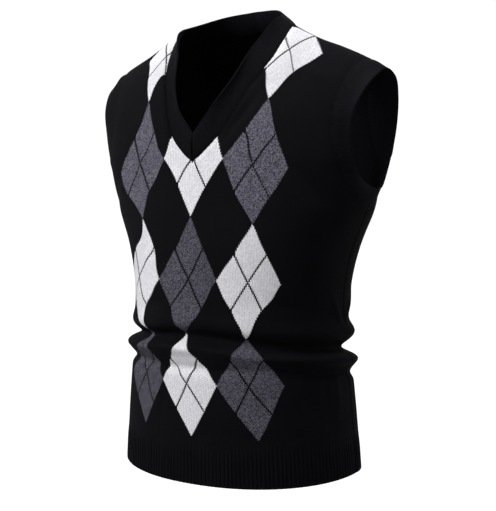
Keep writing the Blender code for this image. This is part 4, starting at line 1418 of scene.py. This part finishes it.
def make_floor(colours, studio):
    """A wide pale floor under the wearer's feet."""
    bpy.ops.object.select_all(action="DESELECT")
    bpy.ops.mesh.primitive_grid_add(x_subdivisions=FLOOR_STEPS, y_subdivisions=FLOOR_STEPS, size=1.0)
    floor = bpy.context.active_object
    floor.name = "floor"
    for vertex in floor.data.vertices:
        vertex.co = vertex.co * 2 * FLOOR_HALF
        vertex.co.z = float(SOLIDS_LOW[2]) - FLOOR_DROP
    floor.data.materials.append(pale_floor(colours.floor, studio.floor_glow))
    floor.visible_diffuse = False
    floor.visible_glossy = False


def make_sky(studio):
    """Soft even light from all sides, white where it is seen."""
    world = bpy.data.worlds.new("studio_sky")
    bpy.context.scene.world = world
    world.use_nodes = True
    nodes, links = world.node_tree.nodes, world.node_tree.links
    sky = nodes["Background"]
    sky.inputs["Color"].default_value = (1.0, 1.0, 1.0, 1.0)
    seen = nodes.new("ShaderNodeLightPath")
    strength = nodes.new("ShaderNodeMapRange")
    strength.inputs["To Min"].default_value = studio.sky
    strength.inputs["To Max"].default_value = SEEN_SKY
    links.new(seen.outputs["Is Camera Ray"], strength.inputs["Value"])
    links.new(strength.outputs["Result"], sky.inputs["Strength"])


def make_lights(studio):
    """A large soft key light high on the vest's right front, one over its left shoulder, one beside it."""
    for name, place, aim, size, power in (
            ("key", (-0.92, -1.62, 1.05), (0.0, -0.08, -0.15), 1.3, studio.key),
            ("top", (0.40, 0.25, 1.30), (0.15, -0.03, -0.02), 0.7, studio.top),
            ("side", (1.60, -0.55, -0.30), (0.12, -0.05, -0.32), 0.9, studio.side)):
        lamp = bpy.data.lights.new(name, "AREA")
        lamp.shape = "DISK"
        lamp.size = size
        lamp.energy = power
        light = bpy.data.objects.new(name, lamp)
        light.location = place
        light.rotation_mode = "QUATERNION"
        light.rotation_quaternion = (Vector(aim) - light.location).to_track_quat("-Z", "Y")
        bpy.context.collection.objects.link(light)


def make_camera(studio):
    """A camera at eye height, turned to the vest's left front."""
    data = bpy.data.cameras.new("camera")
    data.lens = VIEW_FOCUS / VIEW_HEIGHT * data.sensor_width
    camera = bpy.data.objects.new("camera", data)
    bpy.context.collection.objects.link(camera)
    away = Vector((math.sin(studio.azimuth), -math.cos(studio.azimuth), 0.0)) * studio.distance
    camera.location = away + Vector((0.0, 0.0, studio.eye_height)) - Vector(HELD_AT)
    camera.rotation_euler = (math.pi / 2 - studio.pitch, 0.0, studio.azimuth + studio.yaw)
    bpy.context.scene.camera = camera


class VEST_PT_workshop(bpy.types.Panel):
    """Sizes, colours and steps of the vest"""

    bl_label = "Sweater Vest"
    bl_idname = "VEST_PT_workshop"
    bl_space_type = "VIEW_3D"
    bl_region_type = "UI"
    bl_category = "Vest"

    def draw(self, context):
        layout = self.layout
        for group in (context.scene.vest_sizes, context.scene.vest_colours, context.scene.vest_studio):
            box = layout.box()
            for name in group.bl_rna.properties.keys():
                if name not in {"rna_type", "name"}:
                    box.prop(group, name)
        for step in STEPS:
            layout.operator(step.bl_idname)


STEPS = (
    VEST_OT_front_panel,
    VEST_OT_back_panel,
    VEST_OT_hem_ribs,
    VEST_OT_neckband,
    VEST_OT_armbands,
    VEST_OT_sewing,
    VEST_OT_studio,
)
CLASSES = (VestSizes, VestColours, StudioSettings, *STEPS, VEST_PT_workshop)


def register():
    """Register the classes and the settings."""
    for each in CLASSES:
        bpy.utils.register_class(each)
    bpy.types.Scene.vest_sizes = PointerProperty(type=VestSizes)
    bpy.types.Scene.vest_colours = PointerProperty(type=VestColours)
    bpy.types.Scene.vest_studio = PointerProperty(type=StudioSettings)


def unregister():
    """Take the settings and the classes out again."""
    del bpy.types.Scene.vest_studio
    del bpy.types.Scene.vest_colours
    del bpy.types.Scene.vest_sizes
    for each in reversed(CLASSES):
        bpy.utils.unregister_class(each)


def main():
    """Make the whole vest and note its size."""
    register()
    bpy.ops.vest.front_panel()
    bpy.ops.vest.back_panel()
    bpy.ops.vest.hem_ribs()
    bpy.ops.vest.neckband()
    bpy.ops.vest.armbands()
    bpy.ops.vest.sewing()
    bpy.ops.vest.studio()


if __name__ == "__main__":
    main()
